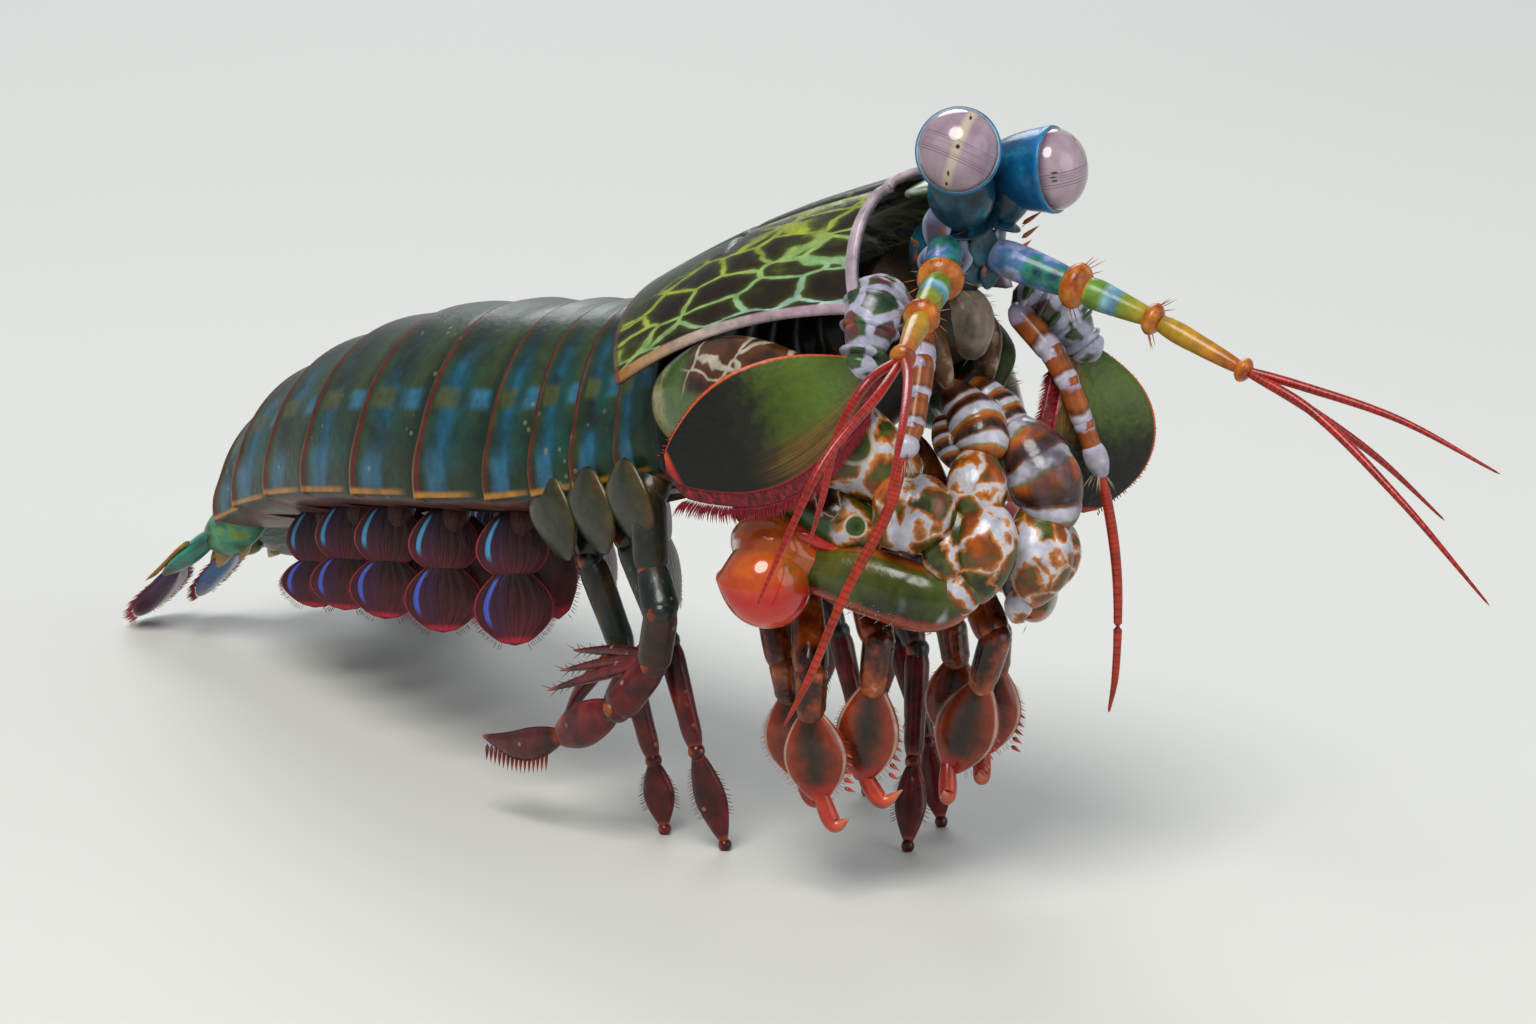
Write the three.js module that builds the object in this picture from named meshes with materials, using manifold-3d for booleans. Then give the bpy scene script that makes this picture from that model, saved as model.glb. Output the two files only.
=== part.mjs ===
// Peacock mantis shrimp at life size, 150 mm from rostrum to tail, standing with its front raised.
// Millimetres, +Z up, the head towards +X and the animal's left towards +Y.
// The origin is the middle of the bounding box at floor level.
import * as THREE from "three";
import { mergeVertices } from "three/addons/utils/BufferGeometryUtils.js";
import Module from "manifold-3d";

const wasm = await Module();
wasm.setup();

// Joint clearance between neighbouring plates and limbs
const GAP = 0.3;

// Where the shield starts on the floor plan, and how far the finished model moves to its origin
const SHIELD_REAR = [0.8, -1.5, 36.5];
const ORIGIN_X = -17.3;
const ORIGIN_Y = -2.3;

// Shield and head
const SHIELD_YAW = 5.6;
const SHIELD_PITCH = 22.7;
const SHIELD_LENGTH = 27.4;
const SHIELD_HALF_WIDTH = 14;
const SHIELD_FRONT_HALF_WIDTH = 8.6;
const SHIELD_CREST = 16.4;
const ROSTRUM_LENGTH = 5.2;
const ROSTRUM_HALF_WIDTH = 3.2;
const EYE_RADIUS = 3.3;
const EYE_DOME = 2.5;

// Body rings from the neck to the tail fan: length, half width, height, then turn and tilt of its rear edge
const RINGS = [
  ["thorax_5", 3.6, 11.6, 15.2, -1, -2],
  ["thorax_6", 5.0, 12.6, 15.6, -2, -2],
  ["thorax_7", 5.5, 13.1, 16.0, 0, -2],
  ["thorax_8", 6.2, 13.6, 16.5, 0, -3.5],
  ["abdomen_1", 10.4, 14.0, 16.9, -3, -3],
  ["abdomen_2", 11.0, 14.4, 16.8, -5.5, -0.5],
  ["abdomen_3", 11.0, 14.8, 16.2, -5.5, 1.5],
  ["abdomen_4", 11.0, 15.1, 15.4, -4, 2.5],
  ["abdomen_5", 11.0, 15.2, 14.4, 0, 3],
  ["abdomen_6", 8.6, 14.4, 12.6, 3, 3],
];
const RING_SIDES = 20;
const BELLY = 3;
const PLEURON_SWEEP = 1.8;

// Tail fan
const TELSON_LENGTH = 17;
const TELSON_HALF_WIDTH = 10.5;
const TELSON_PITCH = 14;
const FAN_TIP_HEIGHT = 0.6;

// Colours
const GREEN = 0x2f4a22;
const TEAL = 0x1c4a44;
const BLUE = 0x1f6fa8;
const LILAC = 0xa58ea0;
const ORANGE = 0xc8641e;
const CREAM = 0xd8c4a0;
const RED = 0xa81e14;
const MAROON = 0x4a0e18;
const OLIVE = 0x5a5a20;

const v = (x, y, z) => new THREE.Vector3(x, y, z);
const mix = THREE.MathUtils.lerp;

// A frame on the animal: forward along the body, left, and up from the belly line
function frameAt(origin, yaw, pitch) {
  const a = THREE.MathUtils.degToRad(yaw);
  const b = THREE.MathUtils.degToRad(pitch);
  const forward = v(Math.cos(b) * Math.cos(a), Math.cos(b) * Math.sin(a), Math.sin(b));
  const left = v(-Math.sin(a), Math.cos(a), 0);
  const up = forward.clone().cross(left);
  const at = (f, l, u) =>
    origin.clone().addScaledVector(forward, f).addScaledVector(left, l).addScaledVector(up, u);
  return { origin, yaw, pitch, forward, left, up, at };
}

// A closed geometry as a solid, its faces turned outwards
function solid(geometry) {
  geometry.deleteAttribute("normal");
  geometry.deleteAttribute("uv");
  const merged = mergeVertices(geometry, 1e-3);
  const vertProperties = merged.attributes.position.array;
  const triVerts = new Uint32Array(merged.index.array);
  let volume = 0;
  const corner = (i) => new THREE.Vector3().fromArray(vertProperties, 3 * triVerts[i]);
  for (let i = 0; i < triVerts.length; i += 3) {
    volume += corner(i).dot(corner(i + 1).cross(corner(i + 2)));
  }
  if (volume < 0) {
    for (let i = 0; i < triVerts.length; i += 3) {
      [triVerts[i + 1], triVerts[i + 2]] = [triVerts[i + 2], triVerts[i + 1]];
    }
  }
  return new wasm.Manifold(new wasm.Mesh({ numProp: 3, vertProperties, triVerts }));
}

// Moves every vertex of a geometry to the place that a function gives it
function moulded(geometry, place) {
  const position = geometry.attributes.position;
  const point = new THREE.Vector3();
  for (let i = 0; i < position.count; i += 1) {
    point.fromBufferAttribute(position, i);
    const moved = place(point);
    position.setXYZ(i, moved.x, moved.y, moved.z);
  }
  return geometry;
}

const joined = (pieces) => pieces.reduce((whole, piece) => whole.add(piece));

// The value at u from 0 to 1 along an evenly spaced list
function along(list, u) {
  const s = u * (list.length - 1);
  const i = Math.min(Math.floor(s), list.length - 2);
  return mix(list[i], list[i + 1], s - i);
}

// A closed limb, plate or bulb along a smooth line of points: half widths and half heights along it,
// and the direction that its flat side faces
function limb(points, widths, heights, options = {}) {
  const { sides = 8, rows = 6, facing = v(0, 0, 1), cap = 0.3, grow = 0 } = options;
  const line = points.length > 2
    ? new THREE.CatmullRomCurve3(points, false, "centripetal")
    : new THREE.LineCurve3(...points);
  return solid(
    moulded(new THREE.SphereGeometry(1, sides, rows), (p) => {
      const u = Math.acos(THREE.MathUtils.clamp(p.y, -1, 1)) / Math.PI;
      const centre = line.getPoint(u);
      const ahead = line.getTangent(THREE.MathUtils.clamp(u, 0.001, 0.999)).normalize();
      const across = facing.clone().cross(ahead).normalize();
      const normal = ahead.clone().cross(across);
      const ring = Math.hypot(p.x, p.z);
      const end = ring < 1e-6 ? 0 : Math.pow(Math.sin(Math.PI * u), cap);
      const turn = Math.atan2(p.z, p.x);
      const width = (along(widths, u) + grow) * end * Math.cos(turn);
      const height = (along(heights, u) + grow) * end * Math.sin(turn);
      const reach = ring < 1e-6 ? grow * (u < 0.5 ? -1 : 1) : 0;
      return centre
        .addScaledVector(across, width)
        .addScaledVector(normal, height)
        .addScaledVector(ahead, reach);
    }),
  );
}

const round = (points, radii, options) => limb(points, radii, radii, options);

const ball = (centre, radius) =>
  solid(moulded(new THREE.SphereGeometry(radius, 8, 4), (p) => p.clone().add(centre)));

// A row of jointed segments: each runs a little past its joints, so that its ends are sunk in its neighbours
function chain(joints, radii, options = {}) {
  const { flat = 1, ...rest } = options;
  return joined(
    joints.slice(0, -1).map((from, i) => {
      const to = joints[i + 1];
      const ahead = to.clone().sub(from).normalize();
      const start = from.clone().addScaledVector(ahead, -0.75 * radii[i]);
      const end = to.clone().addScaledVector(ahead, 0.75 * radii[i + 1]);
      const widths = [radii[i], 0.9 * mix(radii[i], radii[i + 1], 0.5), 1.08 * radii[i + 1]];
      const heights = widths.map((w) => w * flat);
      return limb([start, end], widths, heights, { sides: 6, rows: 5, cap: 0.4, ...rest });
    }),
  );
}

const shield = frameAt(v(...SHIELD_REAR), SHIELD_YAW, SHIELD_PITCH);
const world = (list) => list.map((p) => v(...p));
const inHead = (list) => list.map(([f, l, u]) => shield.at(f, l, u));

// Each body ring's front and rear frames
const ringFrames = [];
let seam = shield;
for (const [, length, , , turn, tilt] of RINGS) {
  const turned = frameAt(seam.origin, seam.yaw + turn, seam.pitch + tilt);
  const rear = frameAt(turned.at(-length, 0, 0), turned.yaw, turned.pitch);
  ringFrames.push({ front: seam, rear });
  seam = rear;
}
const tail = frameAt(seam.origin, seam.yaw, seam.pitch + TELSON_PITCH);

// A point on the outline of a ring: arched above the belly line, shallow below it
function ringOutline(turn, halfWidth, height) {
  const c = Math.cos(turn);
  const s = Math.sin(turn);
  const x = Math.sign(c) * Math.pow(Math.abs(c), s > 0 ? 0.84 : 1) * halfWidth;
  const z = s > 0 ? Math.pow(s, 0.95) * height : BELLY * s;
  return [x, z];
}

// One ring of the body, its rear rim lipped over the next and its lower corners swept back
function ringSolid(index, grow = 0) {
  const [, , halfWidth, height] = RINGS[index];
  const before = RINGS[Math.max(index - 1, 0)];
  const { front, rear } = ringFrames[index];
  const shape = new THREE.CylinderGeometry(1, 1, 1, RING_SIDES, 3);
  return solid(
    moulded(shape, (p) => {
      const back = 0.5 - p.y;
      const ring = Math.hypot(p.x, p.z);
      const lip = 0.93 + 0.09 * back;
      const wide = mix(before[2], halfWidth, back) * lip + grow;
      const tall = mix(before[3], height, back) * (0.96 + 0.05 * back) + grow;
      const turn = Math.atan2(p.z, p.x);
      const [x, z] = ring < 1e-6 ? [0, 0.4 * tall] : ringOutline(turn, wide, tall);
      const side = ring < 1e-6 ? 0 : Math.pow(Math.abs(Math.cos(turn)), 6);
      const slack = back < 0.5 ? -GAP + grow : -grow;
      const a = front.at(slack - PLEURON_SWEEP * side, x, z);
      const b = rear.at(slack - PLEURON_SWEEP * side, x, z);
      return a.lerp(b, back);
    }),
  );
}

// The domed shield, open below, with a keel and flared side edges
function shieldSolid(grow = 0) {
  const shape = new THREE.CylinderGeometry(1, 1, 1, 28, 7);
  return solid(
    moulded(shape, (p) => {
      const ahead = p.y + 0.5;
      const ring = Math.hypot(p.x, p.z);
      const turn = Math.atan2(p.z, p.x);
      const c = Math.cos(turn);
      const s = Math.sin(turn);
      const wide = mix(SHIELD_HALF_WIDTH, SHIELD_FRONT_HALF_WIDTH, Math.pow(ahead, 1.3)) + grow;
      const edge = 7.6 + 7 * ahead * (1 - ahead) - 1.4 * ahead;
      const crest = SHIELD_CREST + 0.8 * Math.sin(Math.PI * ahead) + grow;
      const x = ring < 1e-6 ? 0 : Math.sign(c) * Math.pow(Math.abs(c), s > 0 ? 0.9 : 1) * wide;
      const above = Math.pow(Math.abs(s), 0.95) * (crest - edge);
      const z = ring < 1e-6 ? edge + 2 : edge + (s > 0 ? above : -(1.1 + grow) * Math.abs(s));
      const rounded = 2.2 * Math.pow(Math.abs(x) / wide, 2);
      const f = mix(0.1 - grow, SHIELD_LENGTH + grow, ahead) - rounded * ahead;
      return shield.at(f, x, z);
    }),
  );
}

// The rostral plate, a short pointed tongue between the eyes
function rostrumSolid(grow = 0) {
  const start = SHIELD_LENGTH + GAP - 1.2;
  return limb(
    inHead([[start, 0, SHIELD_CREST - 1.1], [start + ROSTRUM_LENGTH, 0, SHIELD_CREST - 2.2]]),
    [ROSTRUM_HALF_WIDTH, ROSTRUM_HALF_WIDTH, 0.5],
    [0.9, 0.7, 0.4],
    { sides: 8, rows: 6, facing: shield.up, grow },
  );
}

// Head and fore thorax under the shield, with the lip over the mouth
function headSolid(grow = 0) {
  const shape = new THREE.CylinderGeometry(1, 1, 1, 12, 3);
  const trunk = solid(
    moulded(shape, (p) => {
      const ahead = p.y + 0.5;
      const ring = Math.hypot(p.x, p.z);
      const turn = Math.atan2(p.z, p.x);
      const wide = mix(9.2, 6.4, ahead) + grow;
      const low = mix(-4, 0, ahead * ahead) - grow;
      const x = ring * Math.cos(turn) * wide;
      const z = mix(low, 12 + grow, 0.5 + 0.5 * ring * Math.sin(turn));
      return shield.at(mix(0.4, 23.5 + grow, ahead), x, z);
    }),
  );
  const snout = round(inHead([[20, 0, 4], [25, 0, 4], [26.5, 0, 1]]), [5, 4.6, 3], { grow });
  const lip = round(inHead([[25.5, 0, 3.5], [27.6, 0, 1.6]]), [2.6, 2.6], { grow });
  return joined([trunk, snout, lip]);
}

// The movable block that carries the eyes and the antennules
function eyeSegmentSolid(grow = 0) {
  const middle = [[20.8, 0.6, 53.2], [23, 1, 56.4], [24.4, 1.5, 59.4]];
  const cheeks = [[22.2, -2.4, 55.4], [24.2, 0.9, 56.6], [24, 4.4, 56]];
  return joined([
    round(world(middle), [3.3, 3.6, 2.8], { grow }),
    round(world(cheeks), [1.6, 2.5, 1.7], { grow }),
  ]);
}

const EYES = {
  r: {
    foot: [24.9, 0.4, 58.6],
    neck: [25.7, -0.7, 61.4],
    rim: [28.7, -3.9, 65.8],
    axis: [0.62, -0.72, 0.3],
    stem: [2.4, 2.6, 2.7],
  },
  l: {
    foot: [25.4, 3.4, 58.4],
    neck: [26.2, 4, 60.9],
    rim: [29.8, 5.9, 63.5],
    axis: [0.92, 0.34, 0.11],
    stem: [1.8, 1.9, 2.4],
  },
};

function stalkSolid(side, grow = 0) {
  const { foot, neck, rim, axis, stem } = EYES[side];
  const gaze = v(...axis).normalize();
  const end = v(...rim).addScaledVector(gaze, -GAP);
  const cup = end.clone().addScaledVector(gaze, -2.6);
  const shaft = round([v(...foot), v(...neck), cup], stem, { sides: 8, rows: 5, grow });
  const bowl = solid(
    moulded(new THREE.CylinderGeometry(1, 1, 1, 16, 2), (p) => {
      const out = p.y + 0.5;
      const radius = mix(1.9, EYE_RADIUS + 0.1, Math.pow(out, 0.6)) + grow;
      return onAxis(end, gaze, mix(-4.4, 0, out) + grow * Math.sign(p.y), radius * p.x, radius * p.z);
    }),
  );
  return joined([shaft, bowl]);
}

// A point by its distance along an axis and its two offsets across it
function onAxis(origin, axis, distance, across, above) {
  const level = v(0, 0, 1).cross(axis).normalize();
  const high = axis.clone().cross(level);
  return origin
    .clone()
    .addScaledVector(axis, distance)
    .addScaledVector(level, across)
    .addScaledVector(high, above);
}

// The bean of the eye: a dome with a shallow waist along its midband
function eyeSolid(side, grow = 0) {
  const { rim, axis } = EYES[side];
  const gaze = v(...axis).normalize();
  return solid(
    moulded(new THREE.CylinderGeometry(1, 1, 1, 16, 4), (p) => {
      const out = p.y + 0.5;
      const ring = Math.hypot(p.x, p.z);
      const bulge = Math.sqrt(Math.max(0, 1 - 0.92 * out * out));
      const waist = 1 - 0.04 * Math.exp(-Math.pow(p.z / 0.25, 2)) * ring;
      const radius = EYE_RADIUS * bulge * waist + grow;
      const dome = out === 1 && ring < 1e-6 ? EYE_DOME + 0.25 : EYE_DOME * out;
      return onAxis(v(...rim), gaze, dome + grow * (p.y > 0 ? 1 : -1), radius * p.x, radius * p.z * 1.04);
    }),
  );
}

// Antennules: a stalk of three joints and three whips
const ANTENNULE_RADII = [1.9, 1.6, 1.25, 0.95];
const ANTENNULES = {
  r: {
    stalk: [[25, -1.8, 57.2], [29, -6, 55.4], [34, -12.6, 53.8], [38.9, -19, 52]],
    whips: [
      [[38.8, -18.8, 52], [39.1, -22.7, 50.6], [38.3, -24.9, 47], [37.6, -26.1, 41.5], [36.6, -26.6, 37.6]],
      [[38.8, -18.8, 52], [41.6, -24, 50], [42, -29.5, 46], [41.4, -33, 40], [40.6, -35.4, 35]],
      [[38.8, -18.8, 52], [44.5, -23.5, 51.6], [50, -29, 49.5], [54, -34, 45.5]],
    ],
  },
  l: {
    stalk: [[26.6, 2.4, 56.4], [33.4, 5.4, 54.2], [39.3, 8.4, 51.9], [46.8, 11.3, 48.4]],
    whips: [
      [[46.6, 11.2, 48.5], [50.6, 13.8, 47.4], [57.5, 18.1, 45.1], [65, 21.9, 41.3]],
      [[46.6, 11.2, 48.5], [52.7, 12.7, 45.9], [61.2, 14.2, 39.7], [69.4, 16.1, 32]],
      [[46.6, 11.2, 48.5], [49.4, 14.8, 45.8], [52.4, 21, 41], [54.4, 28, 34.5]],
    ],
  },
};

function antennuleSolid(side, grow = 0) {
  const { stalk, whips } = ANTENNULES[side];
  const peduncle = chain(world(stalk), ANTENNULE_RADII, { grow });
  const flagella = whips.map((points) =>
    round(world(points), [0.8, 0.55, 0.45, 0.35], { sides: 4, rows: 8, grow }),
  );
  return joined([peduncle, ...flagella]);
}

// Antennae: a banded stalk of four joints and one long whip
const ANTENNAE = {
  r: {
    stalk: [[25.6, -4.9, 50.4], [28.5, -7.4, 48.4], [29.4, -8.7, 46], [30.3, -10, 43.8], [30.9, -11.4, 42.3]],
    whip: [[30.9, -11.3, 42.4], [30.9, -13.3, 37.4], [29.9, -16.8, 31.2], [28.3, -19.6, 23.7], [27, -21, 20]],
  },
  l: {
    stalk: [[26.2, 6, 50], [29.4, 6.6, 47.8], [30.8, 7, 45.6], [32, 7.8, 42], [32.9, 8.7, 38.6]],
    whip: [[32.8, 8.6, 38.9], [33.4, 9.5, 34.7], [33.6, 10.5, 28.5], [33.5, 10.6, 20], [32.9, 10.5, 16.4]],
  },
};

function antennaSolid(side, grow = 0) {
  const { stalk, whip } = ANTENNAE[side];
  const peduncle = chain(world(stalk), [1.4, 1.2, 1, 0.95, 0.85], { sides: 5, grow });
  const flagellum = round(world(whip), [0.8, 0.6, 0.5, 0.45, 0.35], { sides: 5, rows: 10, grow });
  return joined([peduncle, flagellum]);
}

// Antennal scales: a jointed knob and a broad oval blade with a fringe
const SCALES = {
  r: {
    knob: [[22, -5.4, 53.2], [22.9, -7.6, 52.2], [24.2, -10.4, 47.8]],
    blade: [[25.1, -9, 48.4], [22.1, -17.5, 44.3], [15.9, -24.2, 39.8]],
    facing: [0.72, -0.68, 0.02],
    fringe: 1,
  },
  l: {
    knob: [[24.6, 6.4, 52.6], [27, 9.2, 50.8], [29, 11, 47.4]],
    blade: [[28.4, 10.4, 48.9], [31.3, 10.8, 41.6], [29.5, 10.3, 33.6]],
    facing: [0.9, -0.25, 0.25],
    fringe: -1,
  },
};

function scaleSolid(side, grow = 0) {
  const { knob, blade, facing, fringe } = SCALES[side];
  const flat = v(...facing).normalize();
  const peduncle = round(world(knob), [2.2, 2.7, 1.9], { sides: 10, rows: 6, grow });
  const points = world(blade);
  const leaf = limb(points, [1.6, 3.8, 4.9, 4.9, 3.6], [0.6, 0.5, 0.4, 0.35, 0.3], {
    sides: 8,
    rows: 9,
    facing: flat,
    cap: 0.4,
    grow,
  });
  const ahead = points[2].clone().sub(points[0]).normalize();
  const outward = flat.clone().cross(ahead).normalize().multiplyScalar(fringe * 1.9);
  const hem = limb(
    points.map((p) => p.clone().add(outward).addScaledVector(flat, -0.2)),
    [1.2, 3.4, 4.9, 5, 3.4],
    [0.3, 0.3, 0.28, 0.26, 0.25],
    { sides: 8, rows: 7, facing: flat, cap: 0.4, grow },
  );
  return joined([peduncle, leaf, hem]);
}

// Raptorial claws, folded: upper arm, wrist, fist and the clubbed finger
const CLAWS = {
  r: {
    merus: [[1.6, -12.2, 5.2], [14.5, -12.2, 1.2], [24, -7.2, -8.4]],
    carpus: [[26.4, -5.8, -11.4], [27, -5.6, -18.3]],
    knuckle: [[27, -3.4, -7.8], [27.4, -4.2, -10.6], [26.4, -5, -13]],
    knuckleRadii: [1.7, 2.2, 1.7],
    propodus: [[25, -6.2, -19], [17.4, -10.4, -14.6], [9.6, -14, -11.4]],
    heel: [10.9, -16, -13.2],
    spear: [[9.2, -14.6, -8.6], [13.4, -12.9, -9.9], [18.4, -9.2, -12.2]],
  },
  l: {
    merus: [[1.6, 12.2, 5.2], [14.5, 11.6, 1.2], [23.6, 5, -8.6]],
    carpus: [[27.6, 1.4, -12.2], [27, 1.6, -20]],
    knuckle: [[25.2, 2.6, -4.6], [28.2, 2, -8.2], [28.4, 1.8, -15]],
    knuckleRadii: [2.1, 2.8, 2.3],
    propodus: [[24.6, 3, -20.8], [16.8, 9.8, -17], [9, 13.6, -13.6]],
    heel: [10.4, 16, -15.4],
    spear: [[8.7, 14.6, -10.8], [12.9, 12.9, -12.1], [17.9, 9.2, -14.4]],
  },
};

function merusSolid(side, grow = 0) {
  const points = inHead(CLAWS[side].merus);
  return limb(points, [2.6, 3.2, 3.3, 3.4], [5, 6, 5.2, 4.2], { sides: 12, rows: 8, grow });
}

function carpusSolid(side, grow = 0) {
  const { carpus, knuckle, knuckleRadii } = CLAWS[side];
  const cuff = round(inHead(carpus), [3.1, 3.3], { sides: 10, rows: 6, facing: shield.left, grow });
  const dome = round(inHead(knuckle), knuckleRadii, { sides: 10, rows: 6, facing: shield.left, grow });
  return joined([cuff, dome]);
}

function propodusSolid(side, grow = 0) {
  const points = inHead(CLAWS[side].propodus);
  return limb(points, [2.3, 2.5, 2.5, 2.2], [2.9, 3.2, 3.1, 2.6], { sides: 10, rows: 8, grow });
}

function dactylSolid(side, grow = 0) {
  const { heel, spear } = CLAWS[side];
  const centre = shield.at(...heel);
  const turn = Math.sign(heel[1]);
  const club = round(
    [centre.clone().add(v(-1.6, -0.4 * turn, -2.6)), centre.clone().add(v(0.8, 0, 2))],
    [3.4, 3.5],
    { sides: 12, rows: 8, facing: shield.left, cap: 0.5, grow },
  );
  const blade = round(inHead(spear), [2.4, 1.7, 0.7], { sides: 8, rows: 7, grow });
  const bridge = round(
    [centre.clone(), shield.at(...spear[0])],
    [3, 2.4],
    { sides: 8, rows: 5, facing: shield.left, grow },
  );
  return joined([club, blade, bridge]);
}

// Maxillipeds three to five: arms with oval palms and small hooked claws
const MAXILLIPEDS = {
  maxilliped_3_r: [
    [16, -3, 38.5], [17.6, -4.6, 29], [22.3, -6.5, 23.6],
    [22.1, -6.9, 19.8], [19.9, -6.2, 10.6], [23, -4.2, 10.3],
  ],
  maxilliped_4_r: [
    [12.5, -4, 37], [14.5, -8, 27.4], [18.4, -10.6, 20.4],
    [18.4, -10.7, 17.4], [19, -10.1, 9.4], [21.6, -9, 8.4],
  ],
  maxilliped_5_r: [
    [8.5, -4.4, 35.5], [9.4, -8, 26.4], [12.6, -8.6, 19.8],
    [13.2, -8.6, 17.4], [14, -8, 9.8], [16, -6.6, 9],
  ],
  maxilliped_3_l: [
    [16.4, 3, 38.5], [21.6, 3.8, 29], [26.2, 3.4, 23],
    [25.2, 2.8, 19], [22.4, 1.9, 10.4], [23.9, -0.3, 9.6],
  ],
  maxilliped_4_l: [
    [12.5, 4.4, 37], [16.4, 8, 27.4], [20.6, 8.8, 21.4],
    [20.8, 8.6, 18.4], [20.6, 7.6, 10.6], [22, 5.6, 9.8],
  ],
  maxilliped_5_l: [
    [8.5, 4.6, 35.5], [10.2, 9, 26.4], [13.8, 9.8, 20.2],
    [14.4, 9.8, 17.6], [15, 9, 10.2], [16.6, 7.4, 9.2],
  ],
};

function maxillipedSolid(name, grow = 0) {
  const [root, knee, elbow, wrist, tip, hook] = world(MAXILLIPEDS[name]);
  const arm = chain([root, knee, elbow, wrist], [1.6, 1.6, 1.7, 1.4], {
    sides: 5,
    rows: 4,
    facing: v(1, 0, 0),
    grow,
  });
  const top = wrist.clone().lerp(tip, -0.08);
  const palm = limb([top, tip], [1.5, 2.6, 2.7, 2.1], [1, 1.4, 1.4, 1], {
    sides: 8,
    rows: 6,
    facing: v(0.6, -0.75, 0.1),
    cap: 0.4,
    grow,
  });
  const bend = tip.clone().lerp(hook, 0.5).add(v(0, 0, -1.2));
  const finger = round([tip.clone().add(v(-0.4, 0, 1.4)), bend, hook], [0.9, 0.8, 0.3], {
    sides: 5,
    rows: 5,
    facing: v(0, 1, 0),
    grow,
  });
  return joined([arm, palm, finger]);
}

// First maxillipeds: a short stack of swollen joints under the mouth on each side
const STACKS = {
  r: {
    joints: [
      [23.4, -1.4, 46.4], [26.2, -0.6, 43.8], [28.2, -0.9, 42.4], [29.4, -1.4, 40.9],
      [29.7, -2, 39.6],
    ],
    radii: [1.7, 2.1, 2.2, 2, 1.5],
  },
  l: {
    joints: [[23.4, 2.2, 46.2], [26, 2.6, 43.6], [27.6, 2.9, 42], [28.6, 3, 41]],
    radii: [1.6, 1.9, 1.9, 1.5],
  },
};

function stackSolid(side, grow = 0) {
  const { joints, radii } = STACKS[side];
  return chain(world(joints), radii, { sides: 7, rows: 5, facing: shield.left, grow });
}

// Walking legs: hip, thigh, shin and blade, with a side rod.
// All but the raised leg stand on the floor.
const WALKERS = {
  walking_leg_1_r: {
    joints: [
      [-2.6, -9.6, 37], [-1.2, -12.8, 33], [-0.4, -13, 26.6], [2.2, -14, 23.4],
      [1, -14, 18.4], [-2.6, -15.2, 14], [-10.5, -16.2, 9.6], [-20.8, -17, 7.7],
    ],
    rod: [[0.6, -14.2, 19], [-5, -14.8, 17.8], [-13, -15.4, 15.6]],
  },
  walking_leg_2_r: {
    joints: [
      [-8, -9.4, 35], [-6.8, -10.6, 28], [-2.4, -9.6, 19.2], [0.8, -9, 9.6],
      [1.6, -6.4, 0.5],
    ],
    rod: [[-3, -10, 20], [-7, -11.4, 15], [-10, -12, 10]],
  },
  walking_leg_3_r: {
    joints: [
      [-13.6, -9.4, 33], [-12.4, -10.6, 25], [-8.6, -9.6, 16.6], [-6.4, -8.2, 6.9],
      [-5.6, -7.6, 0.5],
    ],
    rod: [[-9.2, -10, 17], [-13, -11, 13], [-15.6, -11.6, 9]],
  },
  walking_leg_1_l: {
    joints: [[-2.6, 7.4, 36.6], [1.6, 11.4, 27], [8, 11, 17], [10.4, 8.4, 7.5], [12.4, 6, 0.5]],
    rod: [[7.4, 11.6, 17], [4, 14, 12], [2, 15, 8]],
  },
  walking_leg_2_l: {
    joints: [[-8, 7, 34.6], [-5, 12, 26], [2.4, 13.6, 16], [7, 13.4, 7.5], [9, 13.2, 0.5]],
    rod: [[1.6, 14, 16], [-2, 16.4, 12], [-4, 17.4, 8]],
  },
  walking_leg_3_l: {
    joints: [[-13.6, 6.6, 32.6], [-12, 12.4, 24], [-7, 14.6, 15], [-4, 14.6, 7], [-2.6, 14.4, 0.5]],
    rod: [[-7.6, 15, 15], [-11, 17, 11], [-13, 18, 7.6]],
  },
};
const FLOOR_OVERRUN = 0.18;

function walkerSolid(name, grow = 0) {
  const { joints, rod } = WALKERS[name];
  const points = world(joints);
  const last = points.length - 1;
  const radii = points.map((p, i) => mix(1.9, 0.55, Math.pow(i / last, 1.4)));
  const leg = chain(points, radii, { sides: 5, rows: 4, facing: v(0.5, -0.8, 0.2), flat: 0.85, grow });
  const start = world(rod)[0].lerp(world(rod)[1], -0.25);
  const side = round([start, ...world(rod).slice(1)], [0.9, 0.75, 0.4], {
    sides: 4,
    rows: 4,
    facing: v(0, 1, 0),
    grow,
  });
  const tip = points[last];
  const foot = tip.z < 1 ? [ball(tip, tip.z + FLOOR_OVERRUN + grow)] : [];
  return joined([leg, side, ...foot]);
}

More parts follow.
